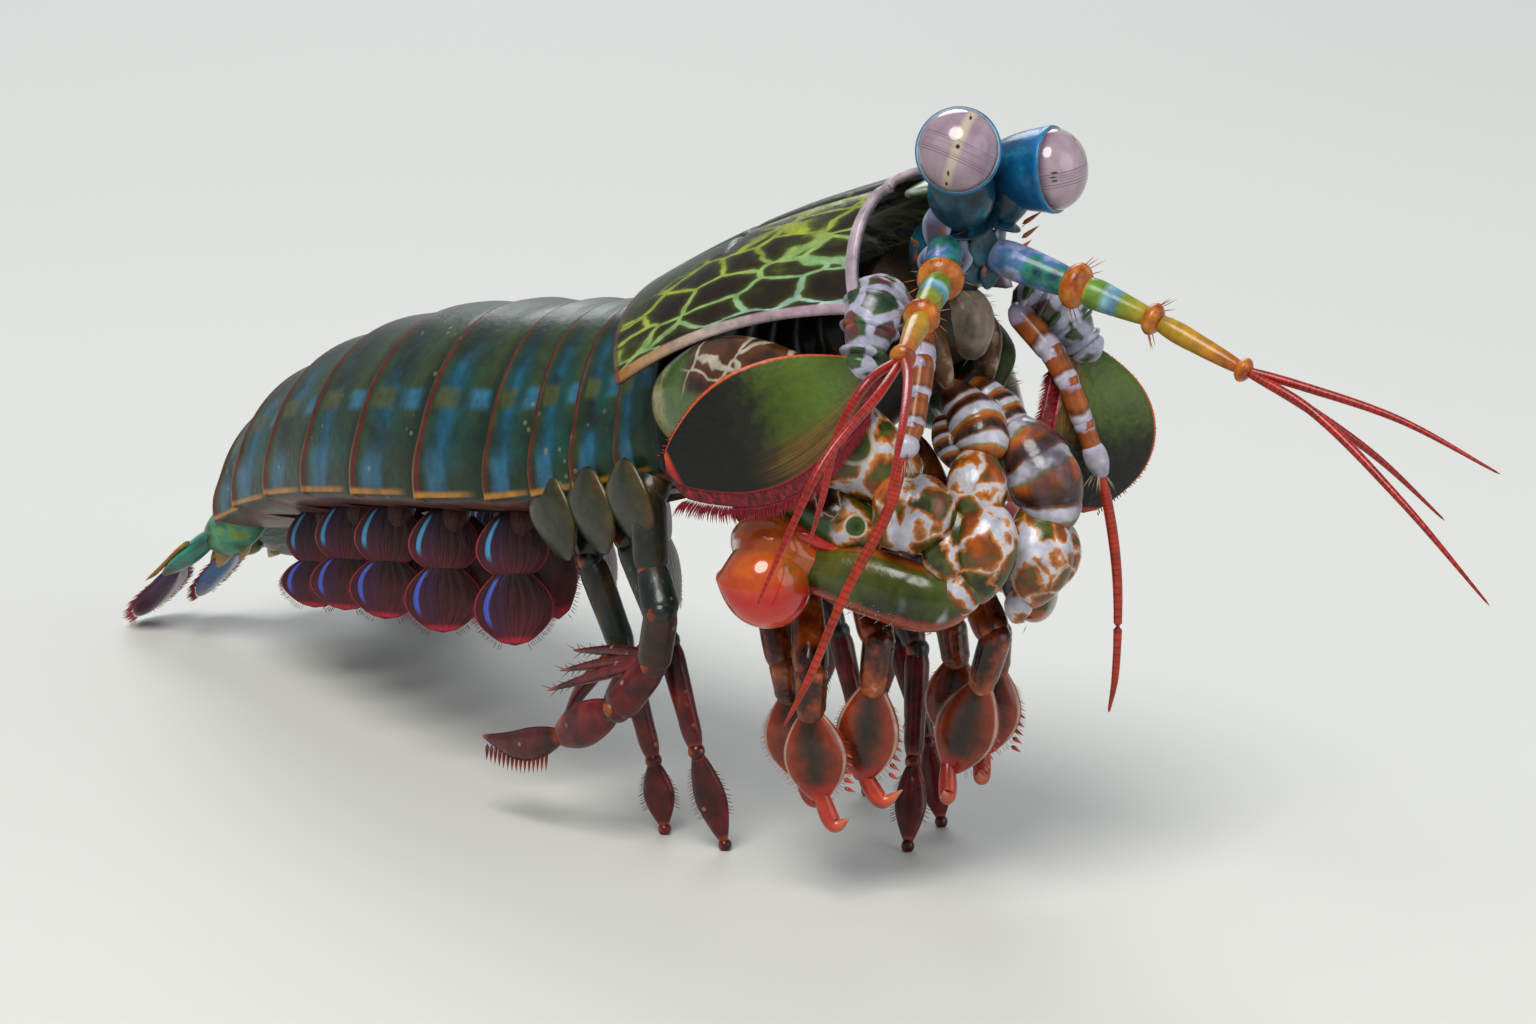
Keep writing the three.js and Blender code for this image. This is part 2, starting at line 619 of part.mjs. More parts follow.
// Swimmerets: two flat lobes under each of the first five abdomen rings
function pleopodSolid(index, turn, grow = 0) {
  const { front } = ringFrames[index + 3];
  const length = RINGS[index + 3][1];
  const f = -0.5 * length;
  const drop = 12.6 - 0.5 * index;
  const facing = front.forward.clone().multiplyScalar(0.8).addScaledVector(front.left, 0.6 * turn);
  const root = front.at(f, 7.4 * turn, -1);
  const stem = round([root, front.at(f - 0.4, 8.4 * turn, -4.6)], [1.6, 1.5], {
    sides: 5,
    rows: 4,
    facing: front.forward,
    grow,
  });
  const outer = limb(
    [front.at(f - 0.2, 8.8 * turn, -2.6), front.at(f - 1.4, 10 * turn, -2 - drop)],
    [1.6, 3.2, 3.4, 2.6],
    [0.6, 0.5, 0.4, 0.35],
    { sides: 6, rows: 6, facing, cap: 0.4, grow },
  );
  const inner = limb(
    [front.at(f - 0.2, 6.6 * turn, -2.6), front.at(f - 0.6, 5 * turn, -0.4 - drop)],
    [1.4, 2.6, 2.8, 2],
    [0.6, 0.5, 0.4, 0.35],
    { sides: 6, rows: 5, facing, cap: 0.4, grow },
  );
  return joined([stem, outer, inner]);
}

// Telson: a keeled shield with six marginal spines
function telsonSolid(grow = 0) {
  const plate = solid(
    moulded(new THREE.CylinderGeometry(1, 1, 1, 16, 3), (p) => {
      const back = 0.5 - p.y;
      const ring = Math.hypot(p.x, p.z);
      const turn = Math.atan2(p.z, p.x);
      const wide = TELSON_HALF_WIDTH * Math.sqrt(1 - 0.62 * back * back) + grow;
      const thick = mix(8.6, 1.2, Math.pow(back, 0.7)) + grow;
      const x = ring * Math.cos(turn) * wide;
      const z = ring * Math.sin(turn) * (Math.sin(turn) > 0 ? thick : 1.2 + grow);
      return tail.at(-GAP - 0.2 - back * (TELSON_LENGTH - 3 - 2 * Math.pow(x / wide, 2)), x, z + 0.6);
    }),
  );
  const spines = [-8.2, -5, -1.8, 1.8, 5, 8.2].map((x) => {
    const root = tail.at(-TELSON_LENGTH + 5 + 0.03 * x * x, x * 0.94, 0.7);
    const tip = tail.at(-TELSON_LENGTH + 0.035 * x * x, x, 0.4);
    return round([root, tip], [1.1, 0.35], { sides: 5, rows: 3, facing: tail.up, grow });
  });
  const ridge = [tail.at(-2, 0, 7.2), tail.at(-7, 0, 5.4), tail.at(-13.4, 0, 2)];
  const keel = round(ridge, [0.9, 1, 0.7], { sides: 6, rows: 6, facing: tail.up, grow });
  return joined([plate, ...spines, keel]);
}

// Uropods: a forked base, a two-part outer paddle and an inner paddle
function uropodSolid(turn, grow = 0) {
  const up = tail.up.clone().addScaledVector(tail.left, 0.35 * turn);
  const level = { sides: 8, rows: 5, facing: tail.up, grow };
  const base = round([tail.at(0.4, 9.6 * turn, 0.6), tail.at(-9, 13.6 * turn, 0.4)], [2.2, 2.4], level);
  const prong = [tail.at(-6, 12 * turn, -0.2), tail.at(-15.5, 12.4 * turn, -1)];
  const fork = round(prong, [1.4, 0.4], { ...level, sides: 6 });
  const tilted = { sides: 6, rows: 5, facing: up, grow };
  const shaft = [tail.at(-6, 13.6 * turn, 0.6), tail.at(-17, 16.2 * turn, 0.2)];
  const outer = limb(shaft, [1.8, 2.7, 2.4], [0.9, 0.7, 0.6], tilted);
  const fanRoot = tail.at(-14.6, 15.8 * turn, 0.5);
  const fanTip = tail.at(-26.6, 16.6 * turn, -0.6);
  fanTip.z = FAN_TIP_HEIGHT;
  const fan = limb([fanRoot, fanTip], [1.9, 3.4, 2.6], [0.6, 0.5, 0.45], { ...tilted, rows: 6, cap: 0.4 });
  const heelRadius = FAN_TIP_HEIGHT + 0.5 + FLOOR_OVERRUN + grow;
  const heel = ball(fanTip.clone().lerp(fanRoot, 0.08), heelRadius);
  const leaf = [tail.at(-6.5, 11.4 * turn, -0.4), tail.at(-22.5, 11 * turn, -0.9)];
  const inner = limb(leaf, [1.4, 2.7, 1.9], [0.7, 0.5, 0.35], { ...tilted, cap: 0.4 });
  return joined([base, fork, outer, fan, heel, inner]);
}

// Every node by name: how it is built, its colour and its gloss. Earlier nodes keep their shape and later
// ones are cut clear of them, except along a seam that leaves the gap by itself.
const NODES = new Map();
const place = (name, build, color, roughness = 0.35, seam = "") =>
  NODES.set(name, { build, color, roughness, seam });
const SIDES = ["r", "l"];

place("carapace", shieldSolid, GREEN, 0.35, "back");
place("rostrum", rostrumSolid, GREEN);
RINGS.forEach(([name], i) => place(name, (grow) => ringSolid(i, grow), TEAL, 0.35, "back"));
place("telson", telsonSolid, GREEN);
SIDES.forEach((side) => place("eye_" + side, (grow) => eyeSolid(side, grow), LILAC, 0.15, "eye_" + side));
SIDES.forEach((side) =>
  place("eye_stalk_" + side, (grow) => stalkSolid(side, grow), BLUE, 0.35, "eye_" + side),
);
place("eye_segment", eyeSegmentSolid, BLUE);
SIDES.forEach((side) => place("antennal_scale_" + side, (grow) => scaleSolid(side, grow), OLIVE));
SIDES.forEach((side) => place("antennule_" + side, (grow) => antennuleSolid(side, grow), ORANGE));
SIDES.forEach((side) => place("antenna_" + side, (grow) => antennaSolid(side, grow), CREAM));
SIDES.forEach((side) => place("raptorial_dactyl_" + side, (grow) => dactylSolid(side, grow), RED, 0.2));
SIDES.forEach((side) => place("raptorial_propodus_" + side, (grow) => propodusSolid(side, grow), OLIVE));
SIDES.forEach((side) => place("raptorial_carpus_" + side, (grow) => carpusSolid(side, grow), ORANGE));
SIDES.forEach((side) => place("raptorial_merus_" + side, (grow) => merusSolid(side, grow), OLIVE));
place("head", headSolid, TEAL);
Object.keys(MAXILLIPEDS).forEach((name) => place(name, (grow) => maxillipedSolid(name, grow), RED));
SIDES.forEach((side) => place("maxilliped_1_" + side, (grow) => stackSolid(side, grow), CREAM));
Object.keys(WALKERS).forEach((name) => place(name, (grow) => walkerSolid(name, grow), MAROON));
[1, 2, 3, 4, 5].forEach((i) => {
  place("pleopod_" + i + "_r", (grow) => pleopodSolid(i, -1, grow), MAROON);
  place("pleopod_" + i + "_l", (grow) => pleopodSolid(i, 1, grow), MAROON);
});
place("uropod_r", (grow) => uropodSolid(-1, grow), TEAL);
place("uropod_l", (grow) => uropodSolid(1, grow), TEAL);

// Everything below the floor is cut away, which leaves the small flats that the animal stands on
const FLOOR_SIZE = 400;
const belowFloor = solid(
  new THREE.BoxGeometry(FLOOR_SIZE, FLOOR_SIZE, 40).translate(0, 0, -20),
);

function apart(a, b) {
  const p = a.boundingBox();
  const q = b.boundingBox();
  return [0, 1, 2].some((i) => p.min[i] > q.max[i] || q.min[i] > p.max[i]);
}

const animal = new THREE.Group();
const cutters = [{ solid: belowFloor, seam: "floor" }];
for (const [name, { build, color, roughness, seam }] of NODES) {
  let body = build(0);
  for (const cutter of cutters) {
    if ((seam === "" || cutter.seam !== seam) && !apart(body, cutter.solid)) {
      body = body.subtract(cutter.solid);
    }
  }
  body = body.decompose().reduce((a, b) => (a.volume() > b.volume() ? a : b));
  cutters.push({ solid: build(GAP), seam });
  const { numProp, vertProperties, triVerts } = body.getMesh();
  const geometry = new THREE.BufferGeometry();
  geometry.setAttribute("position", new THREE.BufferAttribute(vertProperties, numProp));
  geometry.setIndex(new THREE.BufferAttribute(triVerts, 1));
  geometry.computeVertexNormals();
  const mesh = new THREE.Mesh(geometry, new THREE.MeshStandardMaterial({ color, roughness, metalness: 0 }));
  mesh.name = name;
  animal.add(mesh);
}
animal.position.set(-ORIGIN_X, -ORIGIN_Y, 0);

export default animal;
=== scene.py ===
import math
import random

import bmesh
import bpy
from mathutils import Matrix, Vector


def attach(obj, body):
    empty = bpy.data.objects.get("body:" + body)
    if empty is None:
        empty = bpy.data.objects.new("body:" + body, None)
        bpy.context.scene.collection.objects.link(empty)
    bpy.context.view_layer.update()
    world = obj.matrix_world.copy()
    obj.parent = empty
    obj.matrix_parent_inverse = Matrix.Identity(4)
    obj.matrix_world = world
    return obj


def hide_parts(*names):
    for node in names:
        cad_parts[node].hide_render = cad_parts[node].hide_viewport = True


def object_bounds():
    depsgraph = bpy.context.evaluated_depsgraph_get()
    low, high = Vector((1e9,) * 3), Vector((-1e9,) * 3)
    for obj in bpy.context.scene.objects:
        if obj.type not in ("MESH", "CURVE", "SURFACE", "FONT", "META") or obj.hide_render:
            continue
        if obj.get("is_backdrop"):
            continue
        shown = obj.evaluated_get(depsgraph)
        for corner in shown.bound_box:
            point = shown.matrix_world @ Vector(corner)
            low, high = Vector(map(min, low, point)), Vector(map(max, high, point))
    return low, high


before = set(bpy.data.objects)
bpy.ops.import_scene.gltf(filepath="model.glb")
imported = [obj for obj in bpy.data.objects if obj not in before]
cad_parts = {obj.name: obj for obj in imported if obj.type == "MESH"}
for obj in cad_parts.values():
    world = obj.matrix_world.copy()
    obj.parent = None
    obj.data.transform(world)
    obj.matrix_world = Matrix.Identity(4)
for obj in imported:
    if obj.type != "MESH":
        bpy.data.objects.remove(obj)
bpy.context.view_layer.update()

# The studio: a pale floor, a large soft light from above and in front of the animal's right side,
# a weaker one from the other side and one behind. The camera stands where the photograph was taken from.
CAMERA_PLACE = Vector((0.2741, -0.2132, 0.1074))
CAMERA_AIM = Vector((0.0173, 0.0023, 0.030))
LENS, SENSOR = 90, 36
LIGHT_AIM = Vector((0, 0, 0.03))
LIGHTS = (
    ("key_light", (0.52, -0.78, 1.35), 0.90, 27.0, (1.0, 0.97, 0.92)),
    ("fill_light", (1.43, 0.52, 0.57), 1.30, 7.0, (0.90, 0.96, 1.0)),
    ("back_light", (-1.09, 0.78, 1.04), 0.94, 10.0, (0.92, 0.97, 1.0)),
)
SKY, SKY_STRENGTH = (0.80, 0.86, 0.88, 1), 0.46
FLOOR_RADIUS, FLOOR_GREY, FLOOR_ROUGHNESS = 6.0, (0.56, 0.56, 0.54, 1), 0.8


def aimed(name, data, where, aim):
    thing = bpy.data.objects.new(name, data)
    thing.location = where
    thing.rotation_euler = (aim - thing.location).to_track_quat("-Z", "Y").to_euler()
    bpy.context.collection.objects.link(thing)
    return thing


camera_data = bpy.data.cameras.new("camera")
camera_data.lens = LENS
camera_data.sensor_width = SENSOR
camera_data.clip_start = 0.01
bpy.context.scene.camera = aimed("camera", camera_data, CAMERA_PLACE, CAMERA_AIM)
bpy.context.scene.view_settings.view_transform = "Standard"

world = bpy.data.worlds.new("studio")
world.use_nodes = True
world.node_tree.nodes["Background"].inputs["Color"].default_value = SKY
world.node_tree.nodes["Background"].inputs["Strength"].default_value = SKY_STRENGTH
bpy.context.scene.world = world

for name, where, size, power, colour in LIGHTS:
    lamp = bpy.data.lights.new(name, "AREA")
    lamp.shape, lamp.size, lamp.energy, lamp.color = "DISK", size, power, colour
    aimed(name, lamp, where, LIGHT_AIM)

floor_form = bmesh.new()
bmesh.ops.create_circle(floor_form, cap_ends=True, segments=96, radius=FLOOR_RADIUS)
floor_mesh = bpy.data.meshes.new("floor")
floor_form.to_mesh(floor_mesh)
floor_form.free()
floor = bpy.data.objects.new("floor", floor_mesh)
bpy.context.collection.objects.link(floor)
floor_paint = bpy.data.materials.new("pale_floor")
floor_paint.use_nodes = True
matt = floor_paint.node_tree.nodes["Principled BSDF"].inputs
matt["Base Color"].default_value = FLOOR_GREY
matt["Roughness"].default_value = FLOOR_ROUGHNESS
floor_mesh.materials.append(floor_paint)
floor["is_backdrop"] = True


# The carapace: one domed shell of chitin over the head and the front of the thorax, with a keel, two long
# grooves and a beaded rim. It is moulded from a flat sheet, then given its wall.
MILLIMETRE = 0.001
ORIGIN_SHIFT = Vector((17.3, 2.3, 0.0))


def mix(a, b, t):
    return a + (b - a) * t


def rise(low, high, x):
    t = min(1.0, max(0.0, (x - low) / (high - low)))
    return t * t * (3 - 2 * t)


def bump(x, centre, width):
    return math.exp(-(((x - centre) / width) ** 2))


def body_frame(origin, yaw, pitch):
    a, b = math.radians(yaw), math.radians(pitch)
    forward = Vector((math.cos(b) * math.cos(a), math.cos(b) * math.sin(a), math.sin(b)))
    left = Vector((-math.sin(a), math.cos(a), 0))
    placed = Matrix((forward, left, forward.cross(left))).transposed().to_4x4()
    placed.translation = origin
    return placed


def at(placed, f, l, u):
    return placed @ Vector((f, l, u))


def places(placed, *points, turn=1):
    """Several places in one frame, on its left side or, with turn -1, on its right"""
    return [at(placed, f, l * turn, u) for f, l, u in points]


def listed(values, t):
    """The value at t, from 0 to 1, on a smooth curve through evenly spaced values"""
    s = t * (len(values) - 1)
    i = min(int(s), len(values) - 2)
    w, b, c = s - i, values[i], values[i + 1]
    a = values[i - 1] if i else 2 * b - c
    d = values[i + 2] if i + 2 < len(values) else 2 * c - b
    return b + 0.5 * w * (c - a + w * (2 * a - 5 * b + 4 * c - d + w * (3 * (b - c) + d - a)))


def course(points, t):
    """The place and the heading at t, from 0 to 1, on a smooth line through the points"""
    if len(points) == 2:
        return points[0].lerp(points[1], t), (points[1] - points[0]).normalized()
    last = len(points) - 1
    i = min(int(t * last), last - 1)
    w = t * last - i
    p1, p2 = points[i], points[i + 1]
    p0 = points[i - 1] if i else 2 * p1 - p2
    p3 = points[i + 2] if i + 2 <= last else 2 * p2 - p1
    a, b, c = (max((q - p).length, 1e-6) ** 0.5 for p, q in ((p0, p1), (p1, p2), (p2, p3)))
    leave = ((p1 - p0) / a - (p2 - p0) / (a + b) + (p2 - p1) / b) * b
    reach = ((p2 - p1) / b - (p3 - p1) / (b + c) + (p3 - p2) / c) * b
    square, cube = 3 * (p2 - p1) - 2 * leave - reach, 2 * (p1 - p2) + leave + reach
    return p1 + leave * w + square * w**2 + cube * w**3, (
        leave + 2 * square * w + 3 * cube * w**2
    ).normalized()


class Moulding:
    """One piece in the making, in millimetres. Each point keeps how far round, along and above it lies
    on its plate or limb, and which part of the piece it is on, and the finishes are laid out by these."""

    def __init__(self):
        self.bm = bmesh.new()
        self.lay = self.bm.verts.layers.float_vector.new("lay")
        self.part = self.bm.verts.layers.float.new("part")

    def sheet(self, across, along, place, part=0.0, wall=0.0, closed=False):
        made = bmesh.ops.create_grid(self.bm, x_segments=across, y_segments=along, size=1)["verts"]
        faces = list({face for vert in made for face in vert.link_faces})
        for vert in made:
            x, y = vert.co.x, 0.5 + 0.5 * vert.co.y
            vert.co, vert[self.lay] = place(x, y)
            vert[self.part] = part
        if closed:
            bmesh.ops.remove_doubles(self.bm, verts=made, dist=1e-4)
            rims = {edge for face in faces if face.is_valid for edge in face.edges if edge.is_boundary}
            bmesh.ops.holes_fill(self.bm, edges=list(rims), sides=0)
        if wall:
            bmesh.ops.recalc_face_normals(self.bm, faces=faces)
            bmesh.ops.solidify(self.bm, geom=faces, thickness=wall)

    def limb(
        self, points, widths, heights=None, facing=(0, 0, 1), sides=20, rows=20, cap=0.3, part=0.0,
        swell=None,
    ):
        heights = heights or widths
        facing = Vector(facing)
        points = [Vector(point) for point in points]
        made = bmesh.ops.create_uvsphere(self.bm, u_segments=sides, v_segments=rows, radius=1)["verts"]
        known = {}
        for vert in made:
            t = math.acos(min(1.0, max(-1.0, vert.co.z))) / math.pi
            key = round(t, 4)
            if key not in known:
                centre, ahead = course(points, t)
                across = facing.cross(ahead).normalized()
                end = math.sin(math.pi * t) ** cap if 0 < t < 1 else 0.0
                known[key] = centre, across, ahead.cross(across), listed(widths, t) * end, listed(
                    heights, t,
                ) * end
            centre, across, over, wide, high = known[key]
            turn = math.atan2(vert.co.y, vert.co.x)
            pole = math.hypot(vert.co.x, vert.co.y) < 1e-5
            more = swell(t, turn) if swell and not pole else 1.0
            c, s = (0.0, 0.0) if pole else (math.cos(turn), math.sin(turn))
            vert.co = centre + across * wide * c * more + over * high * s * more
            vert[self.lay] = (c, t, s)
            vert[self.part] = part
        return made

    def ball(self, centre, radius, part=0.0, sides=12, rows=8):
        made = bmesh.ops.create_uvsphere(self.bm, u_segments=sides, v_segments=rows, radius=radius)["verts"]
        for vert in made:
            vert[self.lay] = (vert.co.x / radius, 0.5 + 0.5 * vert.co.y / radius, vert.co.z / radius)
            vert[self.part] = part
            vert.co += Vector(centre)

    def spine(self, root, tip, radius, part=0.0, bend=(0, 0, 0), taper=(1.0, 0.62, 0.1), sides=7, rows=6):
        root, tip = Vector(root), Vector(tip)
        middle = root.lerp(tip, 0.5) + Vector(bend)
        steep = abs((tip - root).normalized().z) >= 0.9
        widths = [share * radius for share in taper]
        facing = (1, 0.2, 0) if steep else (0.31, 0.22, 0.92)
        self.limb([root, middle, tip], widths, None, facing, sides, rows, part=part)

    def hair(self, root, tip, radius, part=9.0, bend=(0, 0, 0)):
        self.spine(root, tip, radius, part, bend, taper=(1.0, 0.7, 0.2), sides=3, rows=4)

    def done(self, name, finish, slot, replaces=True):
        """Makes the object, in metres and in the part's frame, and takes its CAD node's place"""
        bmesh.ops.recalc_face_normals(self.bm, faces=self.bm.faces[:])
        for vert in self.bm.verts:
            vert.co.z = max(vert.co.z, 0.0)
        bmesh.ops.translate(self.bm, verts=self.bm.verts[:], vec=ORIGIN_SHIFT)
        bmesh.ops.scale(self.bm, verts=self.bm.verts[:], vec=(MILLIMETRE,) * 3)
        for face in self.bm.faces:
            face.smooth = True
        mesh = bpy.data.meshes.new(name)
        self.bm.to_mesh(mesh)
        self.bm.free()
        mesh.materials.append(finish.material)
        piece = bpy.data.objects.new(name, mesh)
        bpy.context.collection.objects.link(piece)
        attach(piece, "root")
        if replaces:
            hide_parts(name)


def tone(code):
    parts = [int(code[i : i + 2], 16) / 255 for i in (0, 2, 4)]
    return tuple(c / 12.92 if c <= 0.04045 else ((c + 0.055) / 1.055) ** 2.4 for c in parts) + (1,)


class Finish:
    """The finish of a piece: colours and relief laid out by place, and by how far round, along and above"""

    SPECULAR, COAT_SHARE = 0.3, 0.55

    def __init__(self, name, roughness=0.32, coat=0.25, coat_roughness=0.12):
        self.material = bpy.data.materials.new(name)
        self.material.use_nodes = True
        self.tree = self.material.node_tree
        self.shader = self.tree.nodes["Principled BSDF"]
        self.shader.inputs["Roughness"].default_value = roughness
        self.shader.inputs["Coat Weight"].default_value = self.COAT_SHARE * coat
        self.shader.inputs["Specular IOR Level"].default_value = self.SPECULAR
        self.shader.inputs["Coat Roughness"].default_value = coat_roughness
        self.place = self.add("TexCoord").outputs["Object"]
        self.lay = self.add("Attribute", attribute_name="lay").outputs["Vector"]
        self.side, self.along, self.above = self.add("SeparateXYZ", (self.lay,)).outputs
        self.part = self.add("Attribute", attribute_name="part").outputs["Fac"]
        self.normal = None

    def add(self, kind, inputs=(), **settings):
        node = self.tree.nodes.new("ShaderNode" + kind)
        for key, value in settings.items():
            setattr(node, key, value)
        fed = inputs.items() if isinstance(inputs, dict) else enumerate(inputs)
        for key, value in fed:
            if isinstance(value, bpy.types.NodeSocket):
                self.tree.links.new(value, node.inputs[key])
            elif value is not None:
                node.inputs[key].default_value = value
        return node

    def sum(self, operation, *values):
        return self.add("Math", values, operation=operation).outputs[0]

    def times(self, a, b):
        return self.sum("MULTIPLY", a, b)

    def fma(self, a, b, c):
        """a times b plus c"""
        return self.sum("MULTIPLY_ADD", a, b, c)

    def minus(self, a, b):
        return self.sum("SUBTRACT", a, b)

    def flip(self, a):
        return self.minus(1.0, a)

    def size(self, a):
        return self.sum("ABSOLUTE", a)

    def most(self, a, b):
        return self.sum("MAXIMUM", a, b)

    def fract(self, a):
        return self.sum("FRACT", a)

    def noise(self, scale, detail=3.0, where=None):
        fed = {"Vector": where or self.place, "Scale": scale, "Detail": detail, "Roughness": 0.55}
        return self.add("TexNoise", fed).outputs[0]

    def cells(self, scale, where=None, feature="F1", loose=1.0):
        fed = {"Vector": where or self.place, "Scale": scale, "Randomness": loose}
        return self.add("TexVoronoi", fed, feature=feature).outputs["Distance"]

    def stretched(self, where, sizes):
        return self.add("VectorMath", (where, sizes), operation="MULTIPLY").outputs[0]

    def shaken(self, where, amount, scale, detail=2.0):
        fed = {"Vector": where, "Scale": scale, "Detail": detail}
        cloud = self.add("TexNoise", fed).outputs["Color"]
        centred = self.add("VectorMath", (cloud, (0.5, 0.5, 0.5)), operation="SUBTRACT").outputs[0]
        return self.add("VectorMath", (centred, (amount,) * 3, where), operation="MULTIPLY_ADD").outputs[0]

    def step(self, value, low, high):
        return self.add("MapRange", (value, low, high), interpolation_type="SMOOTHSTEP").outputs[0]

    def band(self, value, low, full, ebb, high):
        return self.times(self.step(value, low, full), self.flip(self.step(value, ebb, high)))

    def past(self, part):
        """1 from this part of the piece on, 0 before it"""
        return self.step(self.part, part - 0.5, part - 0.4)

    def only(self, part):
        return self.band(self.part, part - 0.5, part - 0.4, part + 0.4, part + 0.5)

    def ramp(self, value, stops):
        """Colours at rising places of a value, written as a row of places and codes"""
        node = self.add("ValToRGB", (value,))
        stops = stops.split()
        stops = [(float(position), code) for position, code in zip(stops[::2], stops[1::2])]
        elements = node.color_ramp.elements
        while len(elements) < len(stops):
            elements.new(0.5)
        for element, (position, code) in zip(elements, stops):
            element.position, element.color = position, tone(code)
        return node.outputs[0]

    def over(self, under, upper, mask):
        upper = tone(upper) if isinstance(upper, str) else upper
        under = tone(under) if isinstance(under, str) else under
        return self.add("Mix", {0: mask, 6: under, 7: upper}, data_type="RGBA").outputs[2]

    def by_part(self, under, uppers):
        """The colour of each part of the piece, over that of the parts before it"""
        for part, upper in uppers.items():
            under = self.over(under, upper, self.past(part))
        return under

    def shaded(self, under, value, low=0.0):
        """Darkens a colour where the value is small"""
        grey = self.ramp(value, "%s 707070 1.0 ffffff" % low)
        return self.add(
            "Mix", {0: 1.0, 6: under, 7: grey}, data_type="RGBA", blend_type="MULTIPLY",
        ).outputs[2]

    def colour(self, socket):
        self.tree.links.new(socket, self.shader.inputs["Base Color"])
        return self

    def rough(self, value, low, high):
        grey = self.add("MapRange", {0: value, 3: low, 4: high}).outputs[0]
        self.tree.links.new(grey, self.shader.inputs["Roughness"])
        return self

    def relief(self, height, depth, strength=1.0):
        fed = {"Height": height, "Distance": depth * MILLIMETRE, "Strength": strength}
        if self.normal:
            fed["Normal"] = self.normal
        self.normal = self.add("Bump", fed).outputs[0]
        self.tree.links.new(self.normal, self.shader.inputs["Normal"])
        return self

    def close(self, skin, shade, grain, pits=None, gloss=None):
        """The last steps of most finishes: cloudy shade, fine grain, small pits and an uneven gloss"""
        scale, low = shade
        self.colour(self.shaded(skin, self.noise(scale, 4.0), low))
        self.relief(self.noise(grain[0]), grain[1])
        if pits:
            self.relief(self.cells(pits[0]), *pits[1:])
        if gloss:
            self.rough(self.noise(gloss[0]), *gloss[1:])
        return self


SHIELD = body_frame((0.8, -1.5, 36.5), 5.6, 22.7)
SHIELD_LENGTH, SHIELD_CREST = 27.4, 16.4


def shield_point(x, ahead, lift=0.0):
    """A point of the shield's outer face, from its right edge at -1 to its left edge at 1"""
    turn = 0.5 * math.pi * (1 - x)
    c, s = math.cos(turn), math.sin(turn)
    wide = mix(14.0, 8.6, ahead**1.3) + lift
    edge = 7.6 + 7 * ahead * (1 - ahead) - 1.4 * ahead
    crest = SHIELD_CREST + 0.8 * math.sin(math.pi * ahead) + lift
    l = math.copysign(abs(c) ** 0.9, c) * wide
    u = edge + abs(s) ** 0.95 * (crest - edge)
    return at(SHIELD, mix(0.1, SHIELD_LENGTH, ahead) - 2.2 * (l / wide) ** 2 * ahead, l, u)


def shield_sheet(x, y):
    ahead = 1 - (1 - y) ** 1.15
    furrow = bump(abs(x), mix(0.30, 0.24, ahead), 0.028) * rise(0.1, 0.3, ahead)
    cross = bump(ahead, 0.40 + 0.10 * abs(x), 0.022) * rise(0.62, 0.4, abs(x))
    keel = bump(x, 0.0, 0.022) * rise(0.9, 0.4, ahead)
    bead = rise(0.945, 0.975, abs(x)) + rise(0.965, 0.985, ahead)
    lift = 0.30 * keel + 0.26 * min(bead, 1.0) - 0.34 * furrow - 0.22 * cross
    return shield_point(x, ahead, lift), (x, ahead, 0.0)


carapace_finish = p = Finish("leopard_chitin", roughness=0.27, coat=0.45)
margin = p.size(p.side)
NET_CELLS = (7.6, 4.6, 0.0)
flat_place = p.shaken(p.stretched(p.lay, NET_CELLS), 0.45, 1.2)
spots = p.cells(1.0, flat_place, "DISTANCE_TO_EDGE", 0.8)
reach = p.fma(p.along, 0.55, margin)
netted = p.band(reach, 0.62, 0.74, 3.0, 4.0)
plain = p.ramp(margin, "0.0 10160c 0.22 1b2610 0.45 34461a 0.8 4c5f22 1.0 5a6a26")
plain = p.over(plain, "2b3d1c", p.band(p.noise(240, 4.0), 0.5, 0.62, 0.9, 1.0))
inside = p.ramp(spots, "0.05 6a7420 0.10 40421a 0.2 2e2210 0.5 20140a")
line_colour = p.ramp(
    p.fma(margin, 0.75, p.times(p.along, 0.28)),
    "0.3 76861a 0.58 b2c030 0.78 a0d090 0.95 bce6e0",
)
lines = p.flip(p.step(p.fma(p.noise(300), 0.03, spots), 0.045, 0.085))
net = p.over(inside, line_colour, lines)
skin = p.over(plain, net, netted)
stripe = p.band(p.fma(p.along, 0.02, margin), 0.315, 0.335, 0.345, 0.37)
skin = p.over(skin, "96a038", p.times(stripe, p.step(p.along, 0.35, 0.6)))
edge_place = p.most(p.step(margin, 0.955, 0.97), p.step(p.along, 0.962, 0.976))
edge_colour = p.ramp(p.along, "0.0 b8752e 0.18 c9a071 0.45 d9c4bf 0.8 c9a5b8 1.0 d8c2d2")
skin = p.over(skin, edge_colour, edge_place)
skin = p.over(skin, "6d2c1c", p.times(p.step(p.flip(p.along), 0.965, 0.985), 0.8))
p.close(skin, (620, 0.15), (1500, 0.05), pits=(900.0, 0.06, 0.6), gloss=(420, 0.2, 0.4))

SHIELD_WALL = 0.7
carapace = Moulding()
carapace.sheet(120, 60, shield_sheet, wall=SHIELD_WALL)
carapace.done("carapace", carapace_finish, "carapace")


